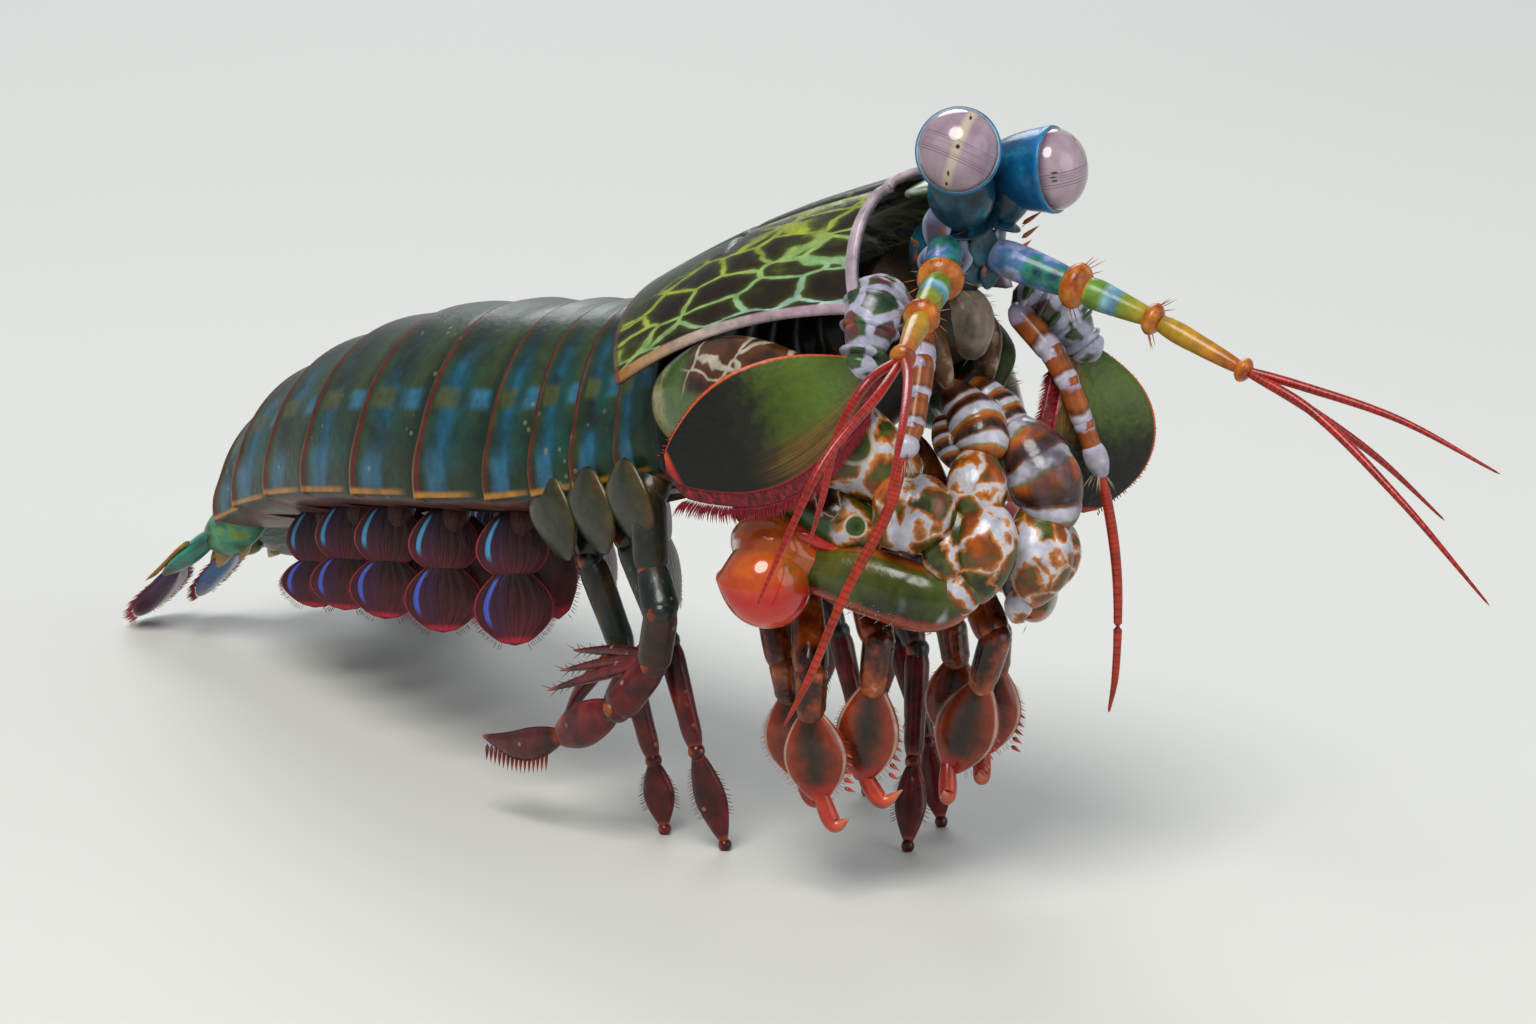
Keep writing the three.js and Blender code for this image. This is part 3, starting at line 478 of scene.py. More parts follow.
# The rostral plate: a short blunt tongue of the same shell, hinged at the shield's front edge between the
# eyes, with a raised middle.
rostrum = Moulding()
start = SHIELD_LENGTH - 0.9
rostrum.limb(
    places(SHIELD, (start, 0, 15.3), (start + 2.7, 0, 15.0), (start + 5.2, 0, 14.2)),
    [3.0, 3.3, 3.1, 2.2, 0.5], [0.75, 0.8, 0.7, 0.55, 0.35],
    facing=at(SHIELD, 0, 0, 1) - at(SHIELD, 0, 0, 0), sides=32, rows=24,
    swell=lambda t, turn: 1 + 0.35 * max(0.0, math.sin(turn)) ** 12 * math.sin(math.pi * t),
)
rostrum_finish = p = Finish("rostral_chitin", roughness=0.3, coat=0.4)
tongue = p.ramp(p.along, "0.1 44551c 0.5 6d7d2a 0.9 9fa348")
tongue = p.over(tongue, "b9cdbd", p.step(p.size(p.side), 0.86, 0.97))
p.close(tongue, (700, 0.2), (1400, 0.05))
rostrum.done("rostrum", rostrum_finish, "carapace")


# The body rings: four free rings of the thorax and six of the abdomen. Each is a closed hoop whose rear rim
# laps over the next one, and whose lower corners are drawn out into rounded, then pointed, side flaps.
RINGS = [
    ("thorax_5", 3.6, 11.6, 15.2, -1, -2),
    ("thorax_6", 5.0, 12.6, 15.6, -2, -2),
    ("thorax_7", 5.5, 13.1, 16.0, 0, -2),
    ("thorax_8", 6.2, 13.6, 16.5, 0, -3.5),
    ("abdomen_1", 10.4, 14.0, 16.9, -3, -3),
    ("abdomen_2", 11.0, 14.4, 16.8, -5.5, -0.5),
    ("abdomen_3", 11.0, 14.8, 16.2, -5.5, 1.5),
    ("abdomen_4", 11.0, 15.1, 15.4, -4, 2.5),
    ("abdomen_5", 11.0, 15.2, 14.4, 0, 3),
    ("abdomen_6", 8.6, 14.4, 12.6, 3, 3),
]
ring_frames = []
seam, yaw, pitch = SHIELD, 5.6, 22.7
for _, length, _, _, turn, tilt in RINGS:
    yaw, pitch = yaw + turn, pitch + tilt
    turned = body_frame(seam.translation, yaw, pitch)
    rear = body_frame(at(turned, -length, 0, 0), yaw, pitch)
    ring_frames.append((seam, rear))
    seam = rear
tail = body_frame(seam.translation, yaw, pitch + 14)


def ring_sheet(index):
    _, length, half_width, height, _, _ = RINGS[index]
    _, _, width_before, height_before, _, _ = RINGS[max(index - 1, 0)]
    front, rear = ring_frames[index]
    pointed = max(0, index - 6)

    def place(x, y):
        back = 1 - (1 - y) ** 1.7
        turn = math.pi * x
        c, s = math.cos(turn), math.sin(turn)
        lip = 0.925 + 0.085 * back + 0.012 * rise(0.9, 0.97, back) - 0.03 * rise(0.975, 1.0, back)
        dip = 0.012 * bump(back, 0.22, 0.05)
        wide = mix(width_before, half_width, back) * (lip - dip)
        crest = 0.955 + 0.05 * back - dip - 0.012 * rise(0.97, 1.0, back)
        tall = mix(height_before, height, back) * crest
        l = math.copysign(abs(c) ** (0.84 if s > 0 else 1.0), c) * wide
        u = s**0.95 * tall if s > 0 else 3.0 * s * mix(1.0, 0.8, back)
        flank = abs(c) ** 6
        corner = bump(abs(c), 1.0, 0.035) if s > -0.15 else 0.0
        flap = (1.0 + 0.5 * pointed) * rise(0.7, 1.0, back) * corner
        slack = 0.4 if back < 0.5 else -0.4
        f = slack - 1.8 * flank - 0.75 * flap
        return at(front, f, l, u).lerp(at(rear, f, l, u), back), (c, back, s)

    return place


tergite_finish = p = Finish("ringed_chitin", roughness=0.4, coat=0.3, coat_roughness=0.22)
waver = p.fma(p.noise(130, 3.0), 0.22, p.minus(p.along, 0.11))
top = p.ramp(waver, "0.0 0a140c 0.3 142a16 0.52 1c381c 0.68 0c1c14 0.88 1e3012")
flank = p.ramp(waver, "0.10 08180e 0.34 0c3a2a 0.52 0c4c48 0.66 0e6284 0.78 0e4a54 0.90 2e4816")
patchy = p.times(p.band(p.above, 0.06, 0.2, 0.62, 0.9), p.step(p.noise(150, 3.0), 0.36, 0.6))
skin = p.over(top, flank, patchy)
olive = p.times(p.band(p.above, 0.3, 0.5, 0.86, 0.98), p.band(waver, 0.22, 0.32, 0.42, 0.52))
skin = p.over(skin, "3a4a1e", p.times(olive, 0.7))
low = p.band(p.above, -0.02, 0.05, 0.14, 0.3)
skin = p.over(skin, "3a86b0", p.times(p.times(low, p.band(waver, 0.56, 0.68, 0.80, 0.9)), 0.55))
knot = p.band(p.above, 0.44, 0.49, 0.55, 0.6)
skin = p.over(skin, "2f9ad0", p.times(knot, p.times(p.band(waver, 0.2, 0.3, 0.42, 0.52), 0.45)))
skin = p.over(skin, "5a5c1e", p.times(knot, p.times(p.band(waver, 0.55, 0.62, 0.82, 0.9), 0.75)))
dots = p.times(p.flip(p.step(p.cells(620.0, None, "F1", 0.9), 0.10, 0.2)), p.step(p.noise(90), 0.52, 0.6))
skin = p.over(skin, "a9a878", p.times(dots, 0.5))
rear_margin = p.step(p.along, 0.945, 0.97)
rim = p.ramp(p.above, "0.0 b8702a 0.2 9a4a2c 0.55 5e2c22 1.0 3a3420")
skin = p.over(skin, rim, rear_margin)
skin = p.over(skin, "6a1c1c", p.band(p.along, 0.905, 0.925, 0.94, 0.955))
hem = p.band(p.above, -0.06, 0.0, 0.01, 0.035)
skin = p.over(skin, "c8892e", p.times(hem, p.step(p.along, 0.3, 0.6)))
belly = p.step(p.times(p.above, -1.0), 0.1, 0.3)
skin = p.over(skin, p.ramp(p.noise(300, 4.0), "0.35 4a1a1c 0.6 7c4a3a"), belly)
p.close(skin, (700, 0.1), (1300, 0.05), gloss=(380, 0.32, 0.5)).relief(p.noise(190, 2.0), 0.25, 0.6)

for i, (name, length, *_) in enumerate(RINGS):
    ring = Moulding()
    ring.sheet(112, 14 if length < 7 else 22, ring_sheet(i), part=i, closed=True)
    ring.done(name, tergite_finish, "thorax" if i < 4 else "abdomen")


# The telson: the keeled end plate of the tail, moulded in one with five ridges, and six spines set in its
# rear margin.
def telson_sheet(x, y):
    turn = math.pi * x
    c, s = math.cos(turn), math.sin(turn)
    wide = 10.5 * math.sqrt(1 - 0.62 * y * y)
    thick = mix(8.4, 1.2, y**0.7)
    l = c * wide
    ridges = sum(bump(l, ridge, 0.55) for ridge in (-6.6, -3.3, 0, 3.3, 6.6))
    crown = s * (thick + 0.55 * ridges * rise(0.04, 0.2, y) * rise(1.0, 0.86, y)) if s > 0 else 1.2 * s
    return at(tail, -0.5 - y * (14.0 - 2 * c * c), l, crown + 0.6), (c, y, s)


telson = Moulding()
telson.sheet(112, 30, telson_sheet, closed=True)
for l in (-8.2, -5.0, -1.8, 1.8, 5.0, 8.2):
    root, tip = at(tail, -12 + 0.03 * l * l, 0.94 * l, 0.8), at(tail, -17 + 0.035 * l * l, l, 0.4)
    telson.limb([root, root.lerp(tip, 0.5), tip], [1.2, 0.95, 0.2], sides=14, rows=12, part=1)
for l in (-9.3, -6.6, -3.4, -0.6, 0.6, 3.4, 6.6, 9.3):
    telson.spine(
        at(tail, -12.4 + 0.03 * l * l, 0.94 * l, 0.7), at(tail, -14.6 + 0.04 * l * l, l, 0.4), 0.4, part=1,
    )
telson_finish = p = Finish("telson_chitin", roughness=0.28, coat=0.4)
plate = p.ramp(p.along, "0.0 10201a 0.35 1c4236 0.7 27553a 0.92 7d6a2a 1.0 b8742a")
plate = p.over(plate, "2f7f88", p.step(p.noise(230, 3.0), 0.52, 0.66))
horn = p.ramp(p.along, "0.1 35602e 0.5 c89234 0.85 cf4a1e")
skin = p.over(plate, horn, p.past(1))
p.close(skin, (650, 0.1), (1300, 0.06), pits=(520.0, 0.12, 0.5))
telson.done("telson", telson_finish, "telson")


# The uropods: on each side of the telson a forked base, a two-part outer paddle edged with movable spines
# and an inner paddle, both with a fringe of bristles. All are thin plates with a rib down the middle.
def rib(strength):
    return lambda t, turn: 1 + strength * abs(math.sin(turn)) ** 16 * math.sin(math.pi * t)


uropod_finish = p = Finish("tail_fan_chitin", roughness=0.3, coat=0.35)
base = p.ramp(p.noise(260, 3.0), "0.38 1d4a2c 0.5 3d7a33 0.6 3fa58e 0.7 9ab83c")
horn = p.ramp(p.along, "0.1 5f8a2e 0.5 d2a032 0.9 d8641e")
blade = p.ramp(p.along, "0.1 2b7a6e 0.45 3fae9a 0.75 26664e 1.0 b08c30")
fan = p.ramp(p.along, "0.0 2b3a8a 0.2 54205e 0.55 5c1240 0.85 7e1c3c 1.0 b04030")
fan = p.over(fan, "8a3fa0", p.band(p.side, -0.55, -0.4, -0.3, -0.15))
inner = p.ramp(p.along, "0.0 2d6a4e 0.3 2f86c4 0.7 2459b0 1.0 5a2a66")
skin = p.by_part(base, {1: horn, 2: blade, 3: fan, 4: inner, 5: "b84a52"})
p.close(skin, (650, 0.1), (1200, 0.06), gloss=(400, 0.22, 0.42))
dice = random.Random(7)


def fringe(
    form, points, widths, facing, side, count, length, radius, part, starts=0.05, ends=0.98, sweep=0.5,
):
    """Bristles along one edge of a blade, leaning towards its tip"""
    points = [Vector(point) for point in points]
    for k in range(count):
        t = mix(starts, ends, (k + 0.6 * dice.random()) / count)
        centre, ahead = course(points, t)
        across = Vector(facing).cross(ahead).normalized() * side
        root = centre + across * listed(widths, t) * math.sin(math.pi * min(t, 0.97)) ** 0.4 * 0.96
        aim = (
            across + ahead * (sweep + 1.2 * rise(0.8, 1.0, t)) + Vector(facing) * dice.uniform(-0.1, 0.1)
        ).normalized()
        reach = length * dice.uniform(0.75, 1.1)
        form.hair(root, root + aim * reach, radius, part=part, bend=ahead * 0.12 * reach)


SIDES = (("r", -1), ("l", 1))
FAN_WIDTHS, INNER_WIDTHS = [1.9, 3.4, 2.7], [1.4, 2.7, 2.0]
for side, turn in SIDES:
    flat = at(tail, 0, 0.35 * turn, 1) - tail.translation
    over = at(tail, 0, 0, 1) - tail.translation
    paddle = Moulding()
    base_line = places(tail, (0.4, 9.6, 0.6), (-9, 13.6, 0.4), turn=turn)
    paddle.limb(base_line, [1.9, 2.3, 2.6, 2.4], facing=over, swell=rib(0.2))
    for start, end, radius in (
        ((-6, 12, -0.2), (-15.5, 12.4, -1.0), 1.3), ((-6, 10.6, -0.4), (-12, 9.8, -1.2), 0.9),
    ):
        a, b = places(tail, start, end, turn=turn)
        paddle.limb(
            [a, a.lerp(b, 0.5), b], [radius, 0.8 * radius, 0.15], facing=over, sides=14, rows=14, part=1,
        )
    middle_line = places(tail, (-6, 13.6, 0.6), (-17, 16.2, 0.2), turn=turn)
    paddle.limb(middle_line, [1.8, 2.7, 2.4], [0.9, 0.75, 0.6], facing=flat, part=2, swell=rib(0.5))
    for k in range(9):
        root = at(tail, -8 - 1.0 * k, (16.2 + 0.16 * k) * turn, 0.4)
        paddle.spine(root, at(tail, -10.2 - 1.05 * k, (17.6 + 0.12 * k) * turn, 0.2), 0.34, part=1)
    tip = at(tail, -26.6, 16.6 * turn, -0.6)
    tip.z = 0.6
    fan_line = [at(tail, -14.6, 15.8 * turn, 0.5), tip]
    paddle.limb(fan_line, FAN_WIDTHS, [0.6, 0.5, 0.45], flat, 28, 28, 0.4, 3, rib(0.8))
    inner_line = places(tail, (-6.5, 11.4, -0.4), (-22.5, 11, -0.9), turn=turn)
    paddle.limb(inner_line, INNER_WIDTHS, [0.7, 0.5, 0.35], flat, 24, 24, 0.4, 4, rib(0.8))
    for edge in (-1, 1):
        fringe(paddle, fan_line, FAN_WIDTHS, flat, edge, 46, 1.5, 0.09, 5, starts=0.2)
        fringe(paddle, inner_line, INNER_WIDTHS, flat, edge, 40, 1.4, 0.09, 5, starts=0.2)
    paddle.done("uropod_" + side, uropod_finish, "uropod")


# The pleopods: ten swimming legs under the abdomen. Each is a short stem with two soft leaves of maroon skin,
# the outer one in two tiers, edged with a pale fringe.
pleopod_finish = p = Finish("swimmeret_skin", roughness=0.36, coat=0.25)
leaf = p.ramp(p.fma(p.noise(260, 4.0), 0.5, p.times(p.along, 0.5)), "0.3 180408 0.55 380812 0.8 58101e")
stripe_line = p.fma(p.noise(120, 2.0), 0.3, p.side)
stripe = p.times(p.band(stripe_line, -0.64, -0.59, -0.52, -0.46), p.band(p.along, 0.10, 0.2, 0.62, 0.8))
streak = p.over("3f8cb8", "3c50ac", p.past(1))
skin = p.over(leaf, streak, stripe)
glow = p.times(p.band(stripe_line, -0.62, -0.46, -0.2, 0.06), p.band(p.along, 0.0, 0.2, 0.75, 1.0))
skin = p.over(skin, "2a1a4a", p.times(p.times(glow, p.flip(stripe)), 0.25))
lower_rim = p.times(p.step(p.along, 0.86, 0.95), p.past(1))
skin = p.over(skin, "a81c34", p.most(lower_rim, p.step(p.size(p.side), 0.94, 0.99)))
skin = p.over(skin, "3c1410", p.only(2))
skin = p.over(skin, "8e3c48", p.past(5))
ribs = p.noise(1.0, 2.0, p.stretched(p.lay, (9.0, 1.5, 9.0)))
p.colour(skin).relief(p.noise(900, 4.0), 0.08).relief(ribs, 0.25).rough(p.noise(300), 0.34, 0.55)

for index in (1, 2, 3, 4, 5):
    under, _ = ring_frames[index + 3]
    f, drop = -0.5 * RINGS[index + 3][1], 12.6 - 0.5 * index
    for side, turn in SIDES:
        facing = at(under, 0.8, 0.6 * turn, 0) - under.translation
        swimmeret = Moulding()
        stem = places(under, (f, 7.4, -1), (f - 0.4, 8.4, -4.6), turn=turn)
        swimmeret.limb(stem, [1.6, 1.5, 1.3], part=2, facing=facing)
        top, knee, toe, tuck, heel = places(
            under, (f - 0.2, 8.8, -1.6), (f - 0.8, 9.5, -7.8), (f - 1.4, 10, -2 - drop),
            (f - 0.2, 6.6, -2.6), (f - 0.6, 5, -0.4 - drop), turn=turn,
        )
        lower, inner = [knee.lerp(top, 0.16), toe], [tuck, heel]
        inner_widths = [1.4, 2.6, 2.8, 2.1]
        swimmeret.limb([top, knee], [2.0, 3.0, 3.5, 3.3], [0.6, 0.62, 0.5, 0.4], facing, 28, 22, 0.32)
        swimmeret.limb(lower, [2.6, 3.5, 3.7, 2.9], [0.45, 0.45, 0.4, 0.3], facing, 32, 24, 0.42, part=1)
        swimmeret.limb(inner, inner_widths, [0.6, 0.5, 0.4, 0.35], facing, 22, 18, 0.4, part=1)
        for edge in (-1, 1):
            fringe(swimmeret, lower, [2.2, 3.4, 3.7, 3.0], facing, edge, 44, 0.75, 0.05, 5, 0.2, sweep=0.7)
            fringe(swimmeret, inner, inner_widths, facing, edge, 26, 0.7, 0.05, 5, 0.3, sweep=0.7)
        name = "pleopod_%d_%s" % (index, side)
        swimmeret.done(name, pleopod_finish, "pleopod")


# The walking legs: three pairs of slender legs under the last thorax rings, each of jointed tubes that end in
# a flat blade, with a thin side rod and brushes of stiff bristles. The first right one is raised.
leg_finish = p = Finish("leg_chitin", roughness=0.3, coat=0.35)
dark = p.ramp(p.noise(330, 4.0), "0.35 141a14 0.5 26302a 0.62 3c2f1c 0.72 54401e")
maroon = p.ramp(p.noise(300, 4.0), "0.35 3e080c 0.55 741216 0.72 a8281a")
skin = p.over(dark, maroon, p.step(p.fma(p.noise(160), 1.2, p.part), 2.5, 3.8))
rings = p.most(p.step(p.along, 0.86, 0.93), p.step(p.flip(p.along), 0.9, 0.97))
skin = p.over(
    skin, p.ramp(p.noise(500), "0.4 8a3412 0.6 c8561c"),
    p.times(rings, p.step(p.minus(10.0, p.part), 1.5, 2.0)),
)
speck = p.times(p.flip(p.step(p.cells(760.0), 0.10, 0.22)), p.step(p.noise(170), 0.5, 0.6))
skin = p.over(skin, "c9b48a", p.times(speck, 0.6))
flap = p.ramp(
    p.fma(p.noise(260, 4.0), 0.7, p.times(p.size(p.side), 0.3)),
    "0.3 1c2412 0.5 34381a 0.66 5c4a22 0.8 8a6a30",
)
skin = p.over(skin, flap, p.band(p.part, 7.8, 7.9, 8.1, 8.2))
skin = p.over(skin, p.ramp(p.along, "0.0 5a140e 0.6 8e2a16 1.0 b8502a"), p.past(9))
p.close(skin, (700, 0.15), (1200, 0.06), pits=(640.0, 0.08, 0.5), gloss=(420, 0.22, 0.42))

LEG_FACING = (0.5, -0.8, 0.2)
LEGS = {
    "walking_leg_1_r": (
        [
            (-2.6, -9.6, 37), (-1.2, -12.8, 33), (-0.4, -13, 26.6), (2.2, -14, 23.4), (1, -14, 18.4),
            (-2.6, -15.2, 14), (-10.5, -16.2, 9.6), (-20.8, -17, 7.7),
        ],
        [(0.6, -14.2, 19), (-5, -14.8, 17.8), (-13, -15.4, 15.6)],
    ),
    "walking_leg_2_r": (
        [(-8, -9.4, 35), (-6.8, -10.6, 28), (-2.4, -9.6, 19.2), (0.8, -9, 9.6), (1.6, -6.4, 0.5)],
        [(-3, -10, 20), (-7, -11.4, 15), (-10, -12, 10)],
    ),
    "walking_leg_3_r": (
        [(-13.6, -9.4, 33), (-12.4, -10.6, 25), (-8.6, -9.6, 16.6), (-6.4, -8.2, 6.9), (-5.6, -7.6, 0.5)],
        [(-9.2, -10, 17), (-13, -11, 13), (-15.6, -11.6, 9)],
    ),
    "walking_leg_1_l": (
        [(-2.6, 7.4, 36.6), (1.6, 11.4, 27), (8, 11, 17), (10.4, 8.4, 7.5), (12.4, 6, 0.5)],
        [(7.4, 11.6, 17), (4, 14, 12), (2, 15, 8)],
    ),
    "walking_leg_2_l": (
        [(-8, 7, 34.6), (-5, 12, 26), (2.4, 13.6, 16), (7, 13.4, 7.5), (9, 13.2, 0.5)],
        [(1.6, 14, 16), (-2, 16.4, 12), (-4, 17.4, 8)],
    ),
    "walking_leg_3_l": (
        [(-13.6, 6.6, 32.6), (-12, 12.4, 24), (-7, 14.6, 15), (-4, 14.6, 7), (-2.6, 14.4, 0.5)],
        [(-7.6, 15, 15), (-11, 17, 11), (-13, 18, 7.6)],
    ),
}


def jointed(form, joints, radii, flat=1.0, facing=LEG_FACING, sides=18, rows=16, part=0.0, parts=1.0):
    """Tubes from joint to joint, each waisted where it starts and flared into a collar where it ends"""
    for k, (start, end) in enumerate(zip(joints, joints[1:])):
        start, end = Vector(start), Vector(end)
        ahead = (end - start).normalized()
        a, b = radii[k], radii[k + 1]
        line = [start - ahead * 0.7 * a, end + ahead * 0.55 * b]
        waist = [0.94 * mix(a, b, 0.4), 0.92 * mix(a, b, 0.7)]
        widths = [0.9 * a, 1.02 * a, *waist, b, 1.16 * b, 1.02 * b]
        form.limb(line, widths, [w * flat for w in widths], facing, sides, rows, 0.4, part + parts * k)
        form.ball(end, 0.92 * b * min(flat, 1.0), part + parts * k)


for name, (joints, rod) in LEGS.items():
    leg = Moulding()
    if name == "walking_leg_1_r":
        radii = [1.8, 1.9, 1.75, 1.85, 1.65, 1.75, 1.45, 0.35]
        jointed(leg, joints[:6], radii, 0.85, part=0, parts=0.8)
        wrist, heel, toe = (Vector(joint) for joint in joints[5:])
        sole = heel.lerp(toe, 0.5) + Vector((0, 0, -0.8))
        palm, finger = [wrist, wrist.lerp(heel, 0.5), heel], [heel + Vector((1, 0, 0.5)), sole, toe]
        leg.limb(palm, [1.5, 1.9, 2.0, 1.5], [1.0, 0.9, 0.7], (0.2, -1, 0), part=5)
        leg.limb(finger, [1.4, 1.6, 1.1, 0.3], [0.8, 0.7, 0.4], (0.2, -1, 0), part=5)
        for k in range(15):
            t = 0.12 + 0.86 * k / 15
            centre, _ = course([heel, sole, toe], t)
            point = centre + Vector((0.5, -0.5, -2.9 + 0.9 * t))
            leg.spine(centre + Vector((0, 0, -0.6)), point, 0.24, part=9)
        for k in range(3):
            shift = Vector((0.4 * k, 0.5 * k, 1.0 * k - 1.2))
            line = [
                Vector(rod[0]).lerp(Vector(rod[1]), -0.2), Vector(rod[1]) + shift,
                Vector(rod[2]) + 1.9 * shift,
            ]
            leg.limb(line, [0.8, 0.6, 0.22], sides=10, rows=18, part=6)
            for j in range(22):
                centre, ahead = course(line, 0.25 + 0.72 * j / 22)
                leg.hair(
                    centre, centre + (ahead + Vector((0.1, 0.3 * (-1) ** j, 0.5 * (-1) ** (j // 2)))) * 1.5,
                    0.06,
                )
    else:
        last = len(joints) - 1
        radii = [mix(1.95, 0.55, (k / last) ** 1.4) for k in range(last + 1)]
        jointed(leg, joints[:-1], radii, 0.85, LEG_FACING, part=0, parts=8.0 / last)
        knee, tip = Vector(joints[-2]), Vector(joints[-1])
        shin, widths = [knee, knee.lerp(tip, 0.5), tip], [0.95, 1.3, 1.5, 1.2, 0.62]
        leg.limb(shin, widths, [0.8, 0.8, 0.7, 0.6, 0.55], LEG_FACING, part=6)
        leg.ball(tip, tip.z + 0.12, part=6)
        for edge, count, length, starts in ((-1, 18, 0.8, 0.15), (1, 12, 0.7, 0.2)):
            fringe(leg, shin, widths, LEG_FACING, edge, count, length, 0.05, 9, starts, 0.7)
        line = [Vector(rod[0]).lerp(Vector(rod[1]), -0.25), Vector(rod[1]), Vector(rod[2])]
        leg.limb(line, [0.85, 0.75, 0.3], sides=12, rows=14, part=5)
        for j in range(16):
            centre, ahead = course(line, 0.35 + 0.62 * j / 16)
            leg.hair(centre, centre + (ahead + Vector((0.2, 0.4 * (-1) ** j, -0.2))) * 1.4, 0.06)
    turn = -1 if name.endswith("r") else 1
    hip, _ = ring_frames[int(name[12])]
    plate = places(hip, (-0.4, 12.4, 1.6), (-1.7, 12.2, -2.6), (-3.0, 10.8, -6.4), turn=turn)
    leg.limb(plate, [2.0, 3.2, 3.1, 1.9], [0.6, 0.75, 0.7, 0.45], (0, 1, 0.1), 26, 22, 0.4, part=8)
    leg.done(name, leg_finish, "walking_leg")


# The eyes: each a blue tapering cup of chitin on a short neck, with a pale lip that holds the glassy cornea.
# The cornea is a shallow bean crossed by a band of fine lines, with a cream streak and small dark spots.
EYES = {
    "r": {
        "foot": (24.9, 0.4, 58.6), "neck": (25.7, -0.7, 61.4), "rim": (28.7, -3.9, 65.8),
        "gaze": (0.62, -0.72, 0.3),
        "stem": [2.5, 2.7, 2.9, 2.9], "slope": 0.39, "lines": (0.15, 0.09, -0.04, -0.21, -0.265, -0.33),
        "streak": (0.34, 0.08),
        "spots": (
            (0.33, 0.70, 0.045, 0.08), (0.08, -0.04, 0.07, 0.07), (-0.15, -0.65, 0.045, 0.075),
            (-0.21, -0.86, 0.04, 0.05),
        ),
    },
    "l": {
        "foot": (25.4, 3.4, 58.4), "neck": (26.2, 4.0, 60.9), "rim": (29.8, 5.9, 63.5),
        "gaze": (0.92, 0.34, 0.11),
        "stem": [1.8, 1.9, 2.3, 2.9], "slope": -0.12, "lines": (0.07, 0.0, -0.05, -0.12, -0.2, -0.27),
        "streak": (-0.3, 0.38),
        "spots": (
            (-0.86, 0.0, 0.07, 0.035), (-0.88, -0.11, 0.06, 0.03), (-0.85, -0.2, 0.06, 0.03),
            (0.1, 0.72, 0.05, 0.1),
        ),
    },
}


CORNEA_WIDTH, CORNEA_HEIGHT, CORNEA_DEPTH = 3.3, 3.43, 2.75


def eye_axes(gaze):
    gaze = Vector(gaze).normalized()
    level = Vector((0, 0, 1)).cross(gaze).normalized()
    return gaze, level, gaze.cross(level)


for side, eye in EYES.items():
    gaze, level, high = eye_axes(eye["gaze"])
    rim = Vector(eye["rim"])
    cornea = Moulding()
    for vert in bmesh.ops.create_uvsphere(cornea.bm, u_segments=72, v_segments=48, radius=1)["verts"]:
        x, y, z = vert.co
        waist = bump(y + eye["slope"] * x, -0.08, 0.2) * math.hypot(x, y) * rise(0, 0.4, z)
        waist = 1 - 0.035 * waist
        vert[cornea.lay] = (x, z, y)
        deep = CORNEA_DEPTH * z if z > 0 else 0.9 * z
        vert.co = rim + level * CORNEA_WIDTH * x * waist + high * CORNEA_HEIGHT * y * waist + gaze * deep
    cornea_finish = p = Finish("cornea_" + side, roughness=0.16, coat=1.0, coat_roughness=0.03)
    skin = p.ramp(p.noise(330, 3.0), "0.3 7e6878 0.55 94808c 0.75 a38f98")
    tilted = p.fma(p.side, eye["slope"], p.above)
    waver = p.fma(p.noise(900, 2.0), 0.012, tilted)
    lean, middle = eye["streak"]
    across = p.size(p.minus(p.minus(p.side, middle), p.times(p.above, lean)))
    skin = p.over(skin, "b5a78e", p.times(p.flip(p.step(across, 0.04, 0.2)), 0.75))
    for k, offset in enumerate(eye["lines"]):
        line = p.flip(p.step(p.size(p.minus(waver, offset)), 0.003, 0.013))
        skin = p.over(skin, "4a2a44", p.times(line, (0.9, 0.45, 0.4, 0.5, 0.85, 0.8)[k]))
    for x, y, wide, tall in eye["spots"]:
        placed = p.add("VectorMath", (p.lay, (x, 0, y)), operation="SUBTRACT").outputs[0]
        sized = p.stretched(placed, (1 / wide, 0, 1 / tall))
        far = p.add("VectorMath", (sized,), operation="LENGTH").outputs["Value"]
        skin = p.over(skin, "150c12", p.flip(p.step(far, 0.45, 1.05)))
    edge = p.flip(p.step(p.along, 0.05, 0.36))
    skin = p.over(skin, "3b2340", p.times(edge, 0.9))
    p.colour(skin).relief(p.cells(5200.0), 0.012, 0.5)
    cornea.done("eye_" + side, cornea_finish, "cornea")

stalk_finish = p = Finish("eye_cup_chitin", roughness=0.3, coat=0.35)
cup = p.ramp(p.along, "0.0 123a4c 0.25 12557e 0.5 1173b4 0.76 1c86c6 0.80 1a6a94 0.86 cfe0ec 1.0 8fa8c8")
stem = p.ramp(p.noise(330, 3.0), "0.36 0f2c3a 0.5 14465c 0.64 1d6480 0.76 4a7d8e")
skin = p.over(stem, cup, p.past(1))
skin = p.over(skin, "2aa0c8", p.times(p.step(p.noise(520, 4.0), 0.58, 0.72), 0.5))
p.close(skin, (700, 0.1), (1400, 0.05), gloss=(400, 0.24, 0.4))

